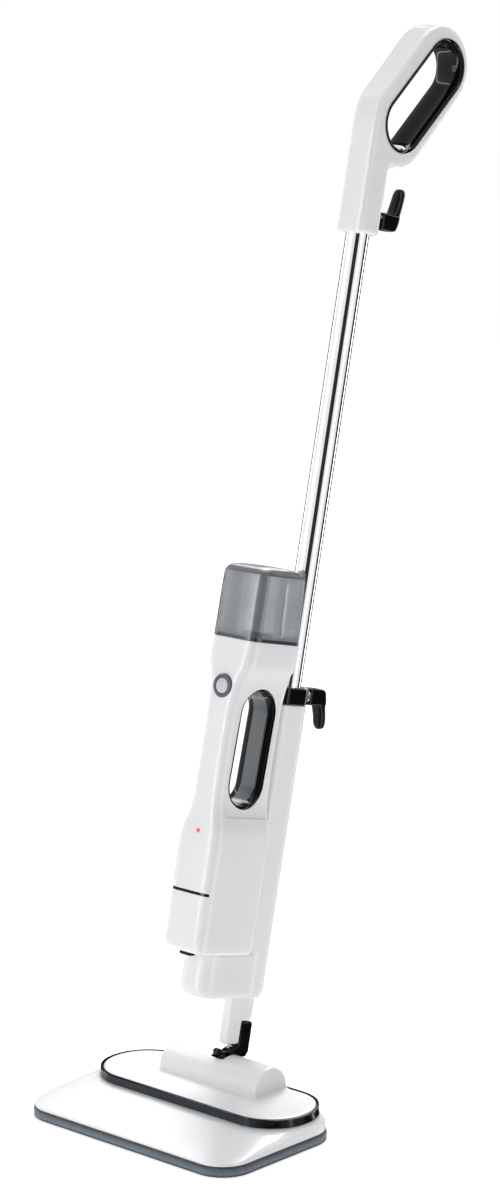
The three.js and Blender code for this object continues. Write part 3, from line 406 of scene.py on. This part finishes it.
def fabric(name, dark, light, pitch_mm, nap_mm):
    """Knitted microfibre: two crossed rows of loops under a short nap."""
    material, tree, shader, place = new_material(name)
    rows = []
    for direction in ("X", "Y", "Z"):
        wave = tree.nodes.new("ShaderNodeTexWave")
        wave.wave_type = "BANDS"
        wave.bands_direction = direction
        wave.inputs["Scale"].default_value = 0.314 / (pitch_mm * MM)
        wave.inputs["Distortion"].default_value = 1.2
        wave.inputs["Detail"].default_value = 2
        wave.inputs["Detail Scale"].default_value = 3
        tree.links.new(place, wave.inputs["Vector"])
        rows.append(wave.outputs["Fac"])
    crossed = rows[0]
    for row in rows[1:]:
        product = tree.nodes.new("ShaderNodeMath")
        product.operation = "MULTIPLY_ADD"
        product.inputs[1].default_value = 0.6
        tree.links.new(row, product.inputs[0])
        tree.links.new(crossed, product.inputs[2])
        crossed = product.outputs[0]
    nap = noise(tree, place, nap_mm, 6)
    colour = blended(tree, spread(tree, nap, 0, 1, 0.35, 0.65), dark, light)
    tree.links.new(colour, shader.inputs["Base Color"])
    tree.links.new(spread(tree, noise(tree, place, 12), 0.75, 0.95), shader.inputs["Roughness"])
    shader.inputs["Sheen Weight"].default_value = 0.5
    shader.inputs["Sheen Roughness"].default_value = 0.4
    first = bumped(tree, shader, spread(tree, crossed, 0, 1, 0.2, 1.8), 0.25, 0.7)
    bumped(tree, shader, nap, 0.3, 0.6, after=first)
    return material


def rubber(name, colour, roughness):
    material, tree, shader, place = new_material(name)
    dark = tuple(c * 0.8 for c in colour)
    cloud = spread(tree, noise(tree, place, 8), 0, 1)
    tree.links.new(blended(tree, cloud, dark, colour), shader.inputs["Base Color"])
    worn = spread(tree, noise(tree, place, 3, 4), roughness * 0.85, roughness)
    tree.links.new(worn, shader.inputs["Roughness"])
    bumped(tree, shader, noise(tree, place, 0.5, 2), 0.02)
    return material


def trim_material():
    """Glossy black band with a satin slate reflection painted on where it faces forward; glossy black round its
    ends.
    """
    material, tree, shader, place = new_material("trim_black_painted_sheen")
    normal = tree.nodes.new("ShaderNodeTexCoord").outputs["Normal"]
    split = tree.nodes.new("ShaderNodeSeparateXYZ")
    tree.links.new(normal, split.inputs[0])
    # painted reflection: the band is coloured lighter slate where it faces forward and fades to black as it turns
    # towards its ends
    painted_sheen_fade = spread(tree, math_node(tree, "ABSOLUTE", split.outputs["X"]), 0, 1, 0.15, 0.6)
    tint = noise(tree, place, 30, 2)
    slate = blended(tree, spread(tree, tint, 0, 1), (0.024, 0.032, 0.04), (0.03, 0.038, 0.048))
    black = blended(tree, spread(tree, tint, 0, 1), (0.003, 0.003, 0.0035), (0.0045, 0.0045, 0.005))
    mixed = tree.nodes.new("ShaderNodeMix")
    mixed.data_type = "RGBA"
    tree.links.new(painted_sheen_fade, mixed.inputs[0])
    tree.links.new(slate, mixed.inputs[6])
    tree.links.new(black, mixed.inputs[7])
    tree.links.new(mixed.outputs[2], shader.inputs["Base Color"])
    shader.inputs["Roughness"].default_value = 0.16
    shader.inputs["Specular IOR Level"].default_value = 0.15
    bumped(tree, shader, noise(tree, place, 0.8, 2), 0.004)
    return material


def smoke_material():
    """Smoky clear plastic with painted shade: darker where the wall turns a corner, as the wall looks where it
    stands edge-on.
    """
    material, tree, shader, place = new_material("smoky_tank")
    split = tree.nodes.new("ShaderNodeSeparateXYZ")
    tree.links.new(tree.nodes.new("ShaderNodeTexCoord").outputs["Normal"], split.inputs[0])
    # painted shade: the colour darkens with the normal's x times its y, at the tank's vertical corners; random
    # flow tone is added to it
    product = math_node(tree, "MULTIPLY", split.outputs["X"], split.outputs["Y"])
    corner = math_node(tree, "ABSOLUTE", product)
    flow = spread(tree, noise(tree, place, 40), 0, 0.12)
    corner_shade_and_flow = math_node(tree, "ADD", spread(tree, corner, 0, 0.88, 0.05, 0.42), flow)
    colour = blended(tree, corner_shade_and_flow, (0.45, 0.475, 0.50), (0.15, 0.165, 0.185))
    tree.links.new(colour, shader.inputs["Base Color"])
    tree.links.new(spread(tree, noise(tree, place, 18, 2), 0.10, 0.16), shader.inputs["Roughness"])
    shader.inputs["Transmission Weight"].default_value = 0.55
    shader.inputs["IOR"].default_value = 1.4
    bumped(tree, shader, noise(tree, place, 12, 1), 0.02)
    return material


def led_material():
    material, tree, shader, place = new_material("red_lens")
    colour = blended(tree, noise(tree, place, 1), (0.55, 0.02, 0.02), (0.8, 0.05, 0.04))
    tree.links.new(colour, shader.inputs["Base Color"])
    shader.inputs["Emission Color"].default_value = (1, 0.05, 0.03, 1)
    shader.inputs["Emission Strength"].default_value = 0.5
    tree.links.new(spread(tree, noise(tree, place, 2), 0.1, 0.2), shader.inputs["Roughness"])
    return material


def board_material():
    material, tree, shader, place = new_material("circuit_board")
    tracks = tree.nodes.new("ShaderNodeTexBrick")
    tracks.inputs["Scale"].default_value = 180
    tracks.inputs["Color1"].default_value = (0.03, 0.16, 0.08, 1)
    tracks.inputs["Color2"].default_value = (0.04, 0.2, 0.1, 1)
    tracks.inputs["Mortar"].default_value = (0.3, 0.22, 0.08, 1)
    tree.links.new(place, tracks.inputs["Vector"])
    tree.links.new(tracks.outputs["Color"], shader.inputs["Base Color"])
    shader.inputs["Roughness"].default_value = 0.4
    return material


WHITE = plastic("gloss_white", (0.775, 0.775, 0.785), 0.3, 0.1, 0.012)
BLACK = plastic("gloss_black", (0.0035, 0.0035, 0.004), 0.08, 0, 0.1, 0.22, 0.03)
SLATE = plastic("satin_slate", (0.05, 0.06, 0.072), 0.3, 0, 0.08)
# painted reflection: a lighter grey for the inside of the finger slot's black liner
LINER_PAINTED_REFLECTION = plastic("liner_painted_reflection", (0.12, 0.132, 0.142), 0.3, 0, 0.06)
GREY = plastic("pale_grey", (0.52, 0.53, 0.57), 0.34, 0.1, 0.03)
TRIM = trim_material()
SMOKE = smoke_material()
TANK_EDGE = plastic("tank_base", (0.03, 0.034, 0.04), 0.25, 0.3, 0.1)
TANK_CAP = plastic("tank_shoulder", (0.10, 0.106, 0.116), 0.32, 0, 0.04)
CHROME = metal("polished_chrome", (0.86, 0.87, 0.89), 0.045, (1, 1, 0.02), 0.0006)
STEEL = metal("plain_steel", (0.6, 0.61, 0.63), 0.28, (1, 1, 0.05))
ALUMINIUM = metal("cast_aluminium", (0.58, 0.59, 0.6), 0.42, None, 0.03)
BRASS = metal("machined_brass", (0.7, 0.52, 0.22), 0.25, (1, 1, 12))
RUBBER = rubber("matt_rubber", (0.025, 0.025, 0.027), 0.7)
SILICONE = rubber("silicone", (0.7, 0.67, 0.62), 0.5)
RED = led_material()
BOARD = board_material()
FLEECE = fabric("microfibre", (0.10, 0.12, 0.14), (0.19, 0.215, 0.24), 1.4, 0.7)
BINDING = fabric("woven_binding", (0.085, 0.105, 0.125), (0.15, 0.175, 0.20), 0.7, 0.4)
PIPING = fabric("sewn_piping", (0.03, 0.036, 0.043), (0.055, 0.065, 0.075), 0.6, 0.4)

BY_SLOT = {
    "white": WHITE, "black": BLACK, "slate": SLATE, "pad": FLEECE, "chrome": CHROME, "steel": STEEL,
    "smoke": SMOKE, "grey": GREY, "red": RED, "aluminium": ALUMINIUM, "brass": BRASS,
    "rubber": RUBBER, "silicone": SILICONE, "board": BOARD,
}


def dress_frame():
    """Every CAD node gets its slot's finish."""
    for part in frame["record"]["subparts"]:
        obj = frame["nodes"][part["node"]]
        obj.data.materials.clear()
        obj.data.materials.append(BY_SLOT[part["material_slot"]])
    frame["nodes"]["upper_hook_washer"].data.materials[0] = BLACK


def finish(obj, body, slot, stands_for):
    """The piece rides on its body, takes its slot's finish and replaces its CAD nodes."""
    if not obj.data.materials:
        obj.data.materials.append(BY_SLOT[slot])
    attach(obj, body)
    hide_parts(*stands_for)
    return obj


# ---------------------------------------------------------------------- pad
def swept_band(name, profile, outline):
    """A closed profile of [inset, z] pairs, carried round an outline function."""
    rings = [[(x, y, z) for x, y in outline(inset)] for inset, z in profile]
    return make(name, *bridged(rings, close=True))


def pad_cushion():
    """The padded body: a slab that cloth pressure swells, held flat by floor and sole."""
    inset, low, high = 4.2, 1.6, 10.2
    rings = [[(x, y, z) for x, y in pad_outline(inset, 8, 14)] for z in (low, high)]
    obj = make("mop_pad_cushion", *bridged(rings))
    remesh = obj.modifiers.new("remesh", "REMESH")
    remesh.mode = "VOXEL"
    remesh.voxel_size = 4.4 * MM
    bake(obj)
    rest = np.array([v.co for v in obj.data.vertices])
    cloth = obj.modifiers.new("cloth", "CLOTH")
    settings = cloth.settings
    settings.quality = 5
    settings.use_pressure = True
    settings.uniform_pressure_force = 4
    settings.effector_weights.gravity = 0
    scene = bpy.context.scene
    scene.frame_start, scene.frame_end = 1, 20
    for step in range(1, 21):
        scene.frame_set(step)
    bake(obj)
    scene.frame_set(1)
    moved = np.array([v.co for v in obj.data.vertices]) - rest
    length = np.linalg.norm(moved, axis=1, keepdims=True)
    cap = 3.2 * MM
    moved *= np.minimum(1, cap / np.maximum(length, 1e-9))
    swollen = rest + moved
    swollen[:, 2] = np.clip(swollen[:, 2], 0.25 * MM, 11.15 * MM)
    for vertex, place in zip(obj.data.vertices, swollen):
        vertex.co = place
    return obj


def sewn_band_profile():
    """The binding's cross-section: two piped edges and a crowned band between them."""
    lower = [(1.0, 0.35), (0.3, 0.55), (-0.35, 1.1), (-0.3, 1.75), (0.5, 2.25)]
    crown = [(0.2, 3.0), (-0.55, 4.1), (-0.95, 5.4), (-0.85, 6.7), (-0.35, 8.0), (0.35, 8.9)]
    upper = [(0.55, 9.3), (-0.15, 9.75), (-0.2, 10.4), (0.35, 10.95), (1.2, 11.15)]
    back = [(5.5, 11.0), (5.5, 0.5)]
    return lower, crown, upper, back


def mop_pad():
    lower, crown, upper, back = sewn_band_profile()
    profile = lower + crown + upper + back
    band = swept_band("pad_band", profile, lambda inset: pad_outline(inset, 14, 40))
    for material in (BINDING, PIPING):
        band.data.materials.append(material)
    for face in band.data.polygons:
        z = face.center.z / MM
        face.material_index = 1 if z < 2.0 or z > 9.1 else 0
    # the fabric gathers a little, more round the corners
    for vertex in band.data.vertices:
        x, y, z = vertex.co / MM
        around = math.atan2(y, x)
        ripple = 0.16 * math.sin(37 * around) + 0.1 * math.sin(83 * around + 1.3)
        corner = max(0, abs(x) - 112) * max(0, abs(y) - 53) / 600
        out = Vector((x / PAD_HALF, y / PAD_END, 0)).normalized() * (ripple * (0.5 + corner)) * MM
        if 2.5 < z < 9 and (abs(x) > PAD_HALF - 3 or abs(y) > PAD_END - 3 or corner > 0.2):
            vertex.co += out
    smooth(band, 50)
    cushion = pad_cushion()
    cushion.data.materials.clear()
    cushion.data.materials.append(FLEECE)
    subdivision = cushion.modifiers.new("subdivision", "SUBSURF")
    subdivision.levels = subdivision.render_levels = 1
    bake(cushion)
    smooth(cushion)
    finish(cushion, "head", "pad", stands_for=("mop_pad",))
    band.parent = cushion
    finish(band, "head", "pad", stands_for=("mop_pad",))


# --------------------------------------------------------------------- head
def wall_top(y):
    rise = min(1, max(0, (y + PAD_END - PAD_CORNER) / (PAD_END + PAD_CORNER)))
    return LIP_TOP + (WALL_TOP - LIP_TOP) * math.sqrt(rise)


def base_shell():
    """A low lip in front, a wall that grows along the sides, and a slope up to the deck."""
    def level(outline, height):
        return [(x, y, height(y)) for x, y in outline]

    def sloped(t, inset, drop=0.0):
        edge = pad_outline(1.6 + inset)
        deck = deck_outline(0.5 + inset)
        lift = t + 0.06 * math.sin(math.pi * t)
        return [
            (
                x0 + (x1 - x0) * t,
                y0 + (y1 - y0) * t,
                wall_top(y0) + (DECK_Z - wall_top(y0)) * min(1, lift) - drop,
            )
            for (x0, y0), (x1, y1) in zip(edge, deck)
        ]

    outer = [
        level(pad_outline(1.1), lambda y: SHELL_BOTTOM),
        level(pad_outline(0.8), lambda y: SHELL_BOTTOM + 0.4),
        level(pad_outline(0.8), lambda y: wall_top(y) - 1.1),
        level(pad_outline(0.95), lambda y: wall_top(y) - 0.45),
        level(pad_outline(1.25), lambda y: wall_top(y) - 0.08),
    ] + [sloped(t, 0) for t in np.linspace(0.02, 1, 22)]
    inner = [sloped(t, WALL, WALL) for t in np.linspace(1, 0, 10)] + [
        level(pad_outline(0.8 + WALL), lambda y: SHELL_BOTTOM),
    ]
    rim = [[(x, y, DECK_Z) for x, y in deck_outline(8)], [(x, y, DECK_Z - WALL) for x, y in deck_outline(8)]]
    obj = make("base_shell_moulding", *bridged(outer + rim + inner, close=True))
    smooth(obj, 32)
    return finish(obj, "head", "white", stands_for=("base_shell",))


def trim_ring():
    low, high = DECK_Z + 0.3, TRIM_TOP
    profile = [
        (0.9, low), (0.25, low + 0.15), (0, low + 0.8), (0.12, low + 1.6), (0.3, (low + high) / 2),
        (0.12, high - 1.6), (0, high - 0.8), (0.25, high - 0.15), (0.9, high), (2.6, high), (2.95, high - 0.4),
        (2.95, low),
    ]
    obj = swept_band("trim_band", profile, lambda inset: deck_outline(inset, 20, 30))
    notch = box("notch", (-9, PITCH.y / MM, low + 1.7), (9, 140, 60), matrix=HEAD)
    cut(obj, notch)
    obj.data.materials.clear()
    for material in (TRIM, BLACK):
        obj.data.materials.append(material)
    for face in obj.data.polygons:
        z = face.center.z / MM
        face.material_index = 1 if z < low + 1.2 or z > high - 1.2 else 0
    smooth(obj, 35)
    return finish(obj, "head", "slate", stands_for=("trim_ring",))


# ------------------------------------------------------------- swivel, pole
def soft_piece(name, nodes, voxel, passes, body, slot):
    obj = softened(name, nodes, voxel, passes)
    return finish(obj, body, slot, stands_for=nodes)


def pole_tube():
    radius, low, high = TUBE
    profile = [(radius - 1, low), (radius, low), (radius, high), (radius - 1, high)]
    turns = [2 * math.pi * i / TUBE_STEPS for i in range(TUBE_STEPS)]
    rings = [[(r * math.cos(a), r * math.sin(a), w) for a in turns] for r, w in profile]
    obj = make("chrome_pole", *bridged(rings, close=True), matrix=POLE)
    smooth(obj, 40)
    return finish(obj, "pole", "chrome", stands_for=("pole_tube",))


def liner(name, spec, half_width, seat, body, node, reflection_paint=None):
    """A sleeve through the opening whose wall flares into a rolled rim over each face."""
    reach = spec["rim"] - spec["hole"]
    bed = seat + 0.3
    x = half_width
    flare = []
    for i in range(FLARE_STEPS + 1):
        t = i / FLARE_STEPS
        out = 1 - (1 - t**3) ** (1 / 2.2)
        flare.append((0.15 + (reach * 0.8 - 0.15) * out, (x - 0.1) * t))
    side = flare + [(reach * 0.93, x - 0.25), (reach, x - 0.8), (reach, bed), (2.2, bed)]
    section = side + [(a, -b) for a, b in reversed(side[1:])]
    rings = [[(b, s, w) for s, w in stadium(spec, spec["hole"] + a)] for a, b in section]
    obj = make(name, *bridged(rings, close=True), matrix=POLE)
    smooth(obj, 40)
    finish(obj, body, "black", stands_for=(node,))
    # painted reflection: deep in the opening the black wall is coloured a lighter grey
    if reflection_paint is not None:
        obj.data.materials.append(reflection_paint)
        for face in obj.data.polygons:
            if abs(face.center.x) < (x - FLARE_DEPTH) * MM:
                face.material_index = 1
    return obj


# ---------------------------------------------------------------- the unit
# Height along the pole, front face, half width, corner radius, depth of the side recess.
UNIT_SKIN = [
    (UNIT_BOTTOM, -106, 26, 10, 0), (135.5, -109, 28, 11, 0), (142, -110.4, 28.8, 12, 0),
    (235, -110.6, 29, 12, 0), (252, -109.8, 28.6, 12, 0), (263, -109, 27.5, 12, 0),
    (273, -108, 24.4, 12, 1.6), (284, -107.3, 21.4, 11, 1.5), (297, -107, 19.6, 10, 1.3),
    (345, -107, 19.2, 10, 1.2), (392, -106.2, 19.8, 10, 1.3), (405, -105.4, 21.4, 11, 1.6),
    (418, -104.4, 24, 12, 1.8), (428, -103.5, 27.6, 12, 2), (434, -103, 30, 12, 2),
    (448, -102, 31.4, 12, 0), (UNIT_TOP, -101, 31.8, 12, 0),
]


def unit_rear(w):
    return -25.5 - 2.5 * min(1, max(0, (w - 420) / 20))


def unit_rings(inset, recessed=False, push=0):
    heights = sorted(set(np.linspace(UNIT_BOTTOM, UNIT_TOP, 84)) | {135.5, 142.0})
    rings = []
    for w, (front, half, radius, recess) in zip(heights, eased(UNIT_SKIN, heights)):
        half -= recess if recessed else 0
        shift = inset if w == UNIT_BOTTOM else -inset if w == UNIT_TOP else 0
        start, end = front + inset - push, unit_rear(w) - inset + push
        outline = rounded(start, end, half - inset, radius - inset, max(2, 7 - inset), 9, 5)
        rings.append([(x, s, w + shift) for x, s in outline])
    return rings


def unit_shell():
    obj = make("unit_shell", *bridged(unit_rings(0)), matrix=POLE)
    hollow = make("hollow", *bridged(unit_rings(WALL, True)), matrix=POLE)
    q = math.pi / 2
    region = (
        [(0, 276), (0, 434.5)]
        + arc(-86, 411.5, 14, q + math.atan(0.105), 2 * q, 12)
        + arc(-92, 284, 8, 2 * q, 3 * q, 9)
    )
    recess = prism("recess", region, -60, 60)
    floor = make("recess_floor", *bridged(unit_rings(0, True, 1)), matrix=POLE)
    cut(recess, floor)
    face = -105
    cut(
        obj,
        recess,
        hollow,
        prism("sleeve", stadium(SLOT, SLOT["hole"] + 2.5), -60, 60),
        prism("pocket_right", stadium(SLOT, SLOT["rim"] + 0.3), SLOT_SEAT, 60),
        prism("pocket_left", stadium(SLOT, SLOT["rim"] + 0.3), -60, -SLOT_SEAT),
        turned("button_hole", [(12.5, 0), (12.5, 40)], (0, face - 20, BUTTON_W), (0, 1, 0)),
        turned("led_hole", [(2.4, 0), (2.4, 40)], (0, face - 30, LED_W), (0, 1, 0), 24),
        box("slit", (-30, -130, SLIT_W - 1.6), (26, -97, SLIT_W + 1.6)),
        turned("spout_hole", [(7.3, 0), (7.3, 14)], (0, -62, UNIT_BOTTOM - 5), (0, 0, 1), 32),
        box("latch_hole", (-6.8, -103.3, UNIT_BOTTOM - 5), (6.8, -91.7, UNIT_BOTTOM + 9)),
        turned("valve_hole", [(12.4, 0), (12.4, 18)], (0, -65, UNIT_TOP - 9), (0, 0, 1), 40),
        turned("gland_hole", [(6.3, 0), (6.3, 30)], (-45, -48, 250), (1, 0, 0), 24),
    )
    obj.data.materials.clear()
    bevel = obj.modifiers.new("bevel", "BEVEL")
    bevel.width = 0.5 * MM
    bevel.segments = 2
    bevel.limit_method = "ANGLE"
    bevel.angle_limit = math.radians(40)
    bake(obj)
    tidy(obj, 3e-6)
    smooth(obj, 30)
    return finish(obj, "unit", "white", stands_for=("unit_left", "unit_right"))


def tank_rings(inset):
    table = [
        (TANK_BOTTOM, -101.2, -28, 32.4, 12, 9), (TANK_TOP - 14, -100.4, -31, 32, 12, 9),
        (TANK_TOP - 8, -99.6, -32.5, 31.2, 12, 9), (TANK_TOP - 3.4, -96.4, -36.4, 28.5, 11, 9),
        (TANK_TOP - 0.8, -90.5, -42, 22.5, 9, 8), (TANK_TOP, -86, -46, 18, 7, 7),
    ]
    heights = [TANK_BOTTOM, TANK_BOTTOM + 3.4] + list(np.linspace(TANK_BOTTOM + 10, TANK_TOP - 14, 7))
    heights += list(np.linspace(TANK_TOP - 12.5, TANK_TOP, 14))
    rings = []
    for w, (front, rear, half, r1, r2) in zip(heights, eased(table, heights)):
        shift = inset if w == heights[0] else -inset if w == heights[-1] else -inset * 0.4
        outline = rounded(front + inset, rear - inset, half - inset, r1 - inset, r2 - inset, 9, 5)
        rings.append([(x, s, w + shift) for x, s in outline])
    return rings


def water_tank():
    obj = make("clear_tank", *bridged(tank_rings(0)), matrix=POLE)
    hollow = make("hollow", *bridged(tank_rings(WALL)), matrix=POLE)
    mouth = turned("mouth", [(9.3, 0), (9.3, 14)], (0, -65, TANK_BOTTOM - 5), (0, 0, 1), 40)
    cut(obj, hollow, mouth)
    obj.data.materials.clear()
    for material in (SMOKE, TANK_EDGE, TANK_CAP):
        obj.data.materials.append(material)
    back = POLE.inverted()
    for face in obj.data.polygons:
        w = (back @ face.center).z
        face.material_index = 1 if w < TANK_BOTTOM + 3.4 else 2 if w > TANK_TOP - 9 else 0
    smooth(obj, 35)
    return finish(obj, "tank", "smoke", stands_for=("water_tank",))


# ------------------------------------------------------------------- studio
# Bearings are in degrees from the camera's, turning to the right: a soft white room with
# two dark gaps, and narrow lamps that draw streaks on anything glossy.
CAMERA_BEARING = 42.3
ROOM = [
    (-180, 0.05), (-156, 0.05), (-150, 0.4), (-134, 0.4), (-130, 1), (-20, 1), (-15, 0.03),
    (18, 0.03), (23, 1), (82, 1), (90, 0.03), (160, 0.03), (180, 0.05),
]
# Bearing, width in degrees and strength.
LAMPS = [(-122, 7, 5), (-62, 9, 7), (48, 8, 6), (120, 9, 5), (170, 10, 4)]
ROOM_LIGHT = 0.5
FLOOR_HALF = 120


def world_bands(tree, bearing):
    """Brightness by bearing, from the room's steps and its narrow lamps."""
    ramp = tree.nodes.new("ShaderNodeValToRGB")
    ramp.color_ramp.interpolation = "LINEAR"
    while len(ramp.color_ramp.elements) > 1:
        ramp.color_ramp.elements.remove(ramp.color_ramp.elements[0])
    first = True
    for angle, level in ROOM:
        place = (angle + 180) / 360
        element = ramp.color_ramp.elements[0] if first else ramp.color_ramp.elements.new(place)
        element.position = place
        element.color = (level, level, level, 1)
        first = False
    tree.links.new(bearing, ramp.inputs["Fac"])
    total = ramp.outputs["Color"]
    for angle, width, level in LAMPS:
        centre = (angle + 180) / 360
        away = math_node(tree, "ABSOLUTE", math_node(tree, "SUBTRACT", bearing, centre))
        lamp = spread(tree, away, level, 0, width / 720 * 0.6, width / 720 * 1.2)
        total = math_node(tree, "ADD", total, lamp)
    return total


def studio_world():
    """Glossy rays see the bands, the camera a white backdrop and the rest an even grey."""
    world = bpy.data.worlds.new("studio")
    bpy.context.scene.world = world
    world.use_nodes = True
    tree = world.node_tree
    background = tree.nodes["Background"]
    direction = tree.nodes.new("ShaderNodeTexCoord").outputs["Generated"]
    split = tree.nodes.new("ShaderNodeSeparateXYZ")
    tree.links.new(direction, split.inputs[0])
    forward = math_node(tree, "MULTIPLY", split.outputs["Y"], -1)
    angle = math_node(tree, "ARCTAN2", split.outputs["X"], forward)
    turned_by = math_node(tree, "SUBTRACT", angle, math.radians(CAMERA_BEARING))
    turns = math_node(tree, "MULTIPLY", turned_by, 0.5 / math.pi)
    bearing = math_node(tree, "FRACT", math_node(tree, "ADD", turns, 1.5))
    bands = world_bands(tree, bearing)
    overhead = spread(tree, split.outputs["Z"], 0, 1, 0.75, 0.95)
    level = tree.nodes.new("ShaderNodeMix")
    level.data_type = "FLOAT"
    tree.links.new(overhead, level.inputs[0])
    tree.links.new(bands, level.inputs[2])
    level.inputs[3].default_value = 1.2
    ray = tree.nodes.new("ShaderNodeLightPath")
    choice = tree.nodes.new("ShaderNodeMix")
    choice.data_type = "FLOAT"
    tree.links.new(ray.outputs["Is Glossy Ray"], choice.inputs[0])
    choice.inputs[2].default_value = ROOM_LIGHT
    tree.links.new(level.outputs[0], choice.inputs[3])
    backdrop = tree.nodes.new("ShaderNodeMix")
    backdrop.data_type = "FLOAT"
    tree.links.new(ray.outputs["Is Camera Ray"], backdrop.inputs[0])
    tree.links.new(choice.outputs[0], backdrop.inputs[2])
    backdrop.inputs[3].default_value = 1
    tree.links.new(backdrop.outputs[0], background.inputs["Strength"])
    background.inputs["Color"].default_value = (0.985, 0.99, 1.0, 1)


def studio():
    white = bpy.data.materials.new("studio_floor")
    white.use_nodes = True
    shader = white.node_tree.nodes["Principled BSDF"]
    shader.inputs["Base Color"].default_value = (0.7, 0.7, 0.705, 1)
    shader.inputs["Roughness"].default_value = 0.9
    shader.inputs["Specular IOR Level"].default_value = 0
    shader.inputs["Emission Color"].default_value = (0.99, 0.993, 1, 1)
    shader.inputs["Emission Strength"].default_value = 0.66
    size = FLOOR_HALF
    corners = [(-size, -size, 0), (size, -size, 0), (size, size, 0), (-size, size, 0)]
    floor = make("studio_floor", corners, [(0, 1, 2, 3)], Matrix.Identity(4))
    floor.location.z = -0.0002
    floor.visible_glossy = False
    floor.data.materials.append(white)
    studio_world()

    def softbox(name, place, target, width, height, power):
        light = bpy.data.lights.new(name, "AREA")
        light.shape = "RECTANGLE"
        light.size, light.size_y = width, height
        light.energy = power
        obj = bpy.data.objects.new(name, light)
        bpy.context.scene.collection.objects.link(obj)
        obj.location = place
        obj.rotation_euler = (Vector(target) - Vector(place)).to_track_quat("-Z", "Y").to_euler()
        return obj

    softbox("key", (-1.6, -3.2, 1.3), (0, 0.1, 0.5), 1.6, 1.8, 29)
    softbox("top", (-0.6, 1.6, 4.2), (0, 0.05, 0.1), 2.4, 2.4, 84)
    head = softbox("head", (-0.6, 0.75, 1.1), (0, 0.02, 0.03), 0.7, 0.7, 2)
    head.data.spread = math.radians(60)

    camera = bpy.data.objects.new("camera", bpy.data.cameras.new("camera"))
    bpy.context.scene.collection.objects.link(camera)
    camera.data.lens = 100.275
    camera.data.sensor_width = 36
    camera.data.clip_end = 300
    bearing, rise, away = math.radians(CAMERA_BEARING), math.radians(11.5), 3.5
    target = Vector((-0.01928, 0.13179, 0.53927))
    level = math.cos(rise)
    direction = Vector((math.sin(bearing) * level, -math.cos(bearing) * level, math.sin(rise)))
    camera.location = target + direction * away
    camera.rotation_euler = (-direction).to_track_quat("-Z", "Y").to_euler()
    bpy.context.scene.camera = camera
    bpy.context.scene.view_settings.view_transform = "Standard"


# ----------------------------------------------------------------- assembly
studio()
dress_frame()
mop_pad()
base_shell()
trim_ring()
soft_piece("hinge_cover", ["top_cover"], 1.3, 8, "head", "white")
soft_piece("yoke_moulding", ["swivel_yoke"], 0.6, 10, "swivel", "black")
soft_piece("neck_moulding", ["neck"], 0.9, 8, "pole", "white")
soft_piece("spine_moulding", ["spine_left", "spine_right"], 1.5, 8, "pole", "white")
soft_piece("collar_moulding", ["hook_collar"], 0.8, 5, "pole", "black")
soft_piece("handle_moulding", ["handle_left", "handle_right"], 1.3, 12, "pole", "white")
soft_piece("lower_hook_moulding", ["lower_hook"], 0.6, 10, "lower_hook", "black")
soft_piece("upper_hook_moulding", ["upper_hook"], 0.6, 10, "upper_hook", "black")
pole_tube()
liner("loop_liner", LOOP, LOOP_HALF_WIDTH, LOOP_SEAT, "pole", "handle_liner")
liner("finger_liner", SLOT, SLOT_HALF_WIDTH, SLOT_SEAT, "unit", "slot_liner", LINER_PAINTED_REFLECTION)
unit_shell()
soft_piece("bezel_ring", ["button_bezel"], 0.4, 4, "unit", "slate")
soft_piece("button_dome", ["power_button"], 0.4, 8, "button", "grey")
soft_piece("latch_tongue", ["unit_latch"], 0.5, 6, "latch", "black")
water_tank()
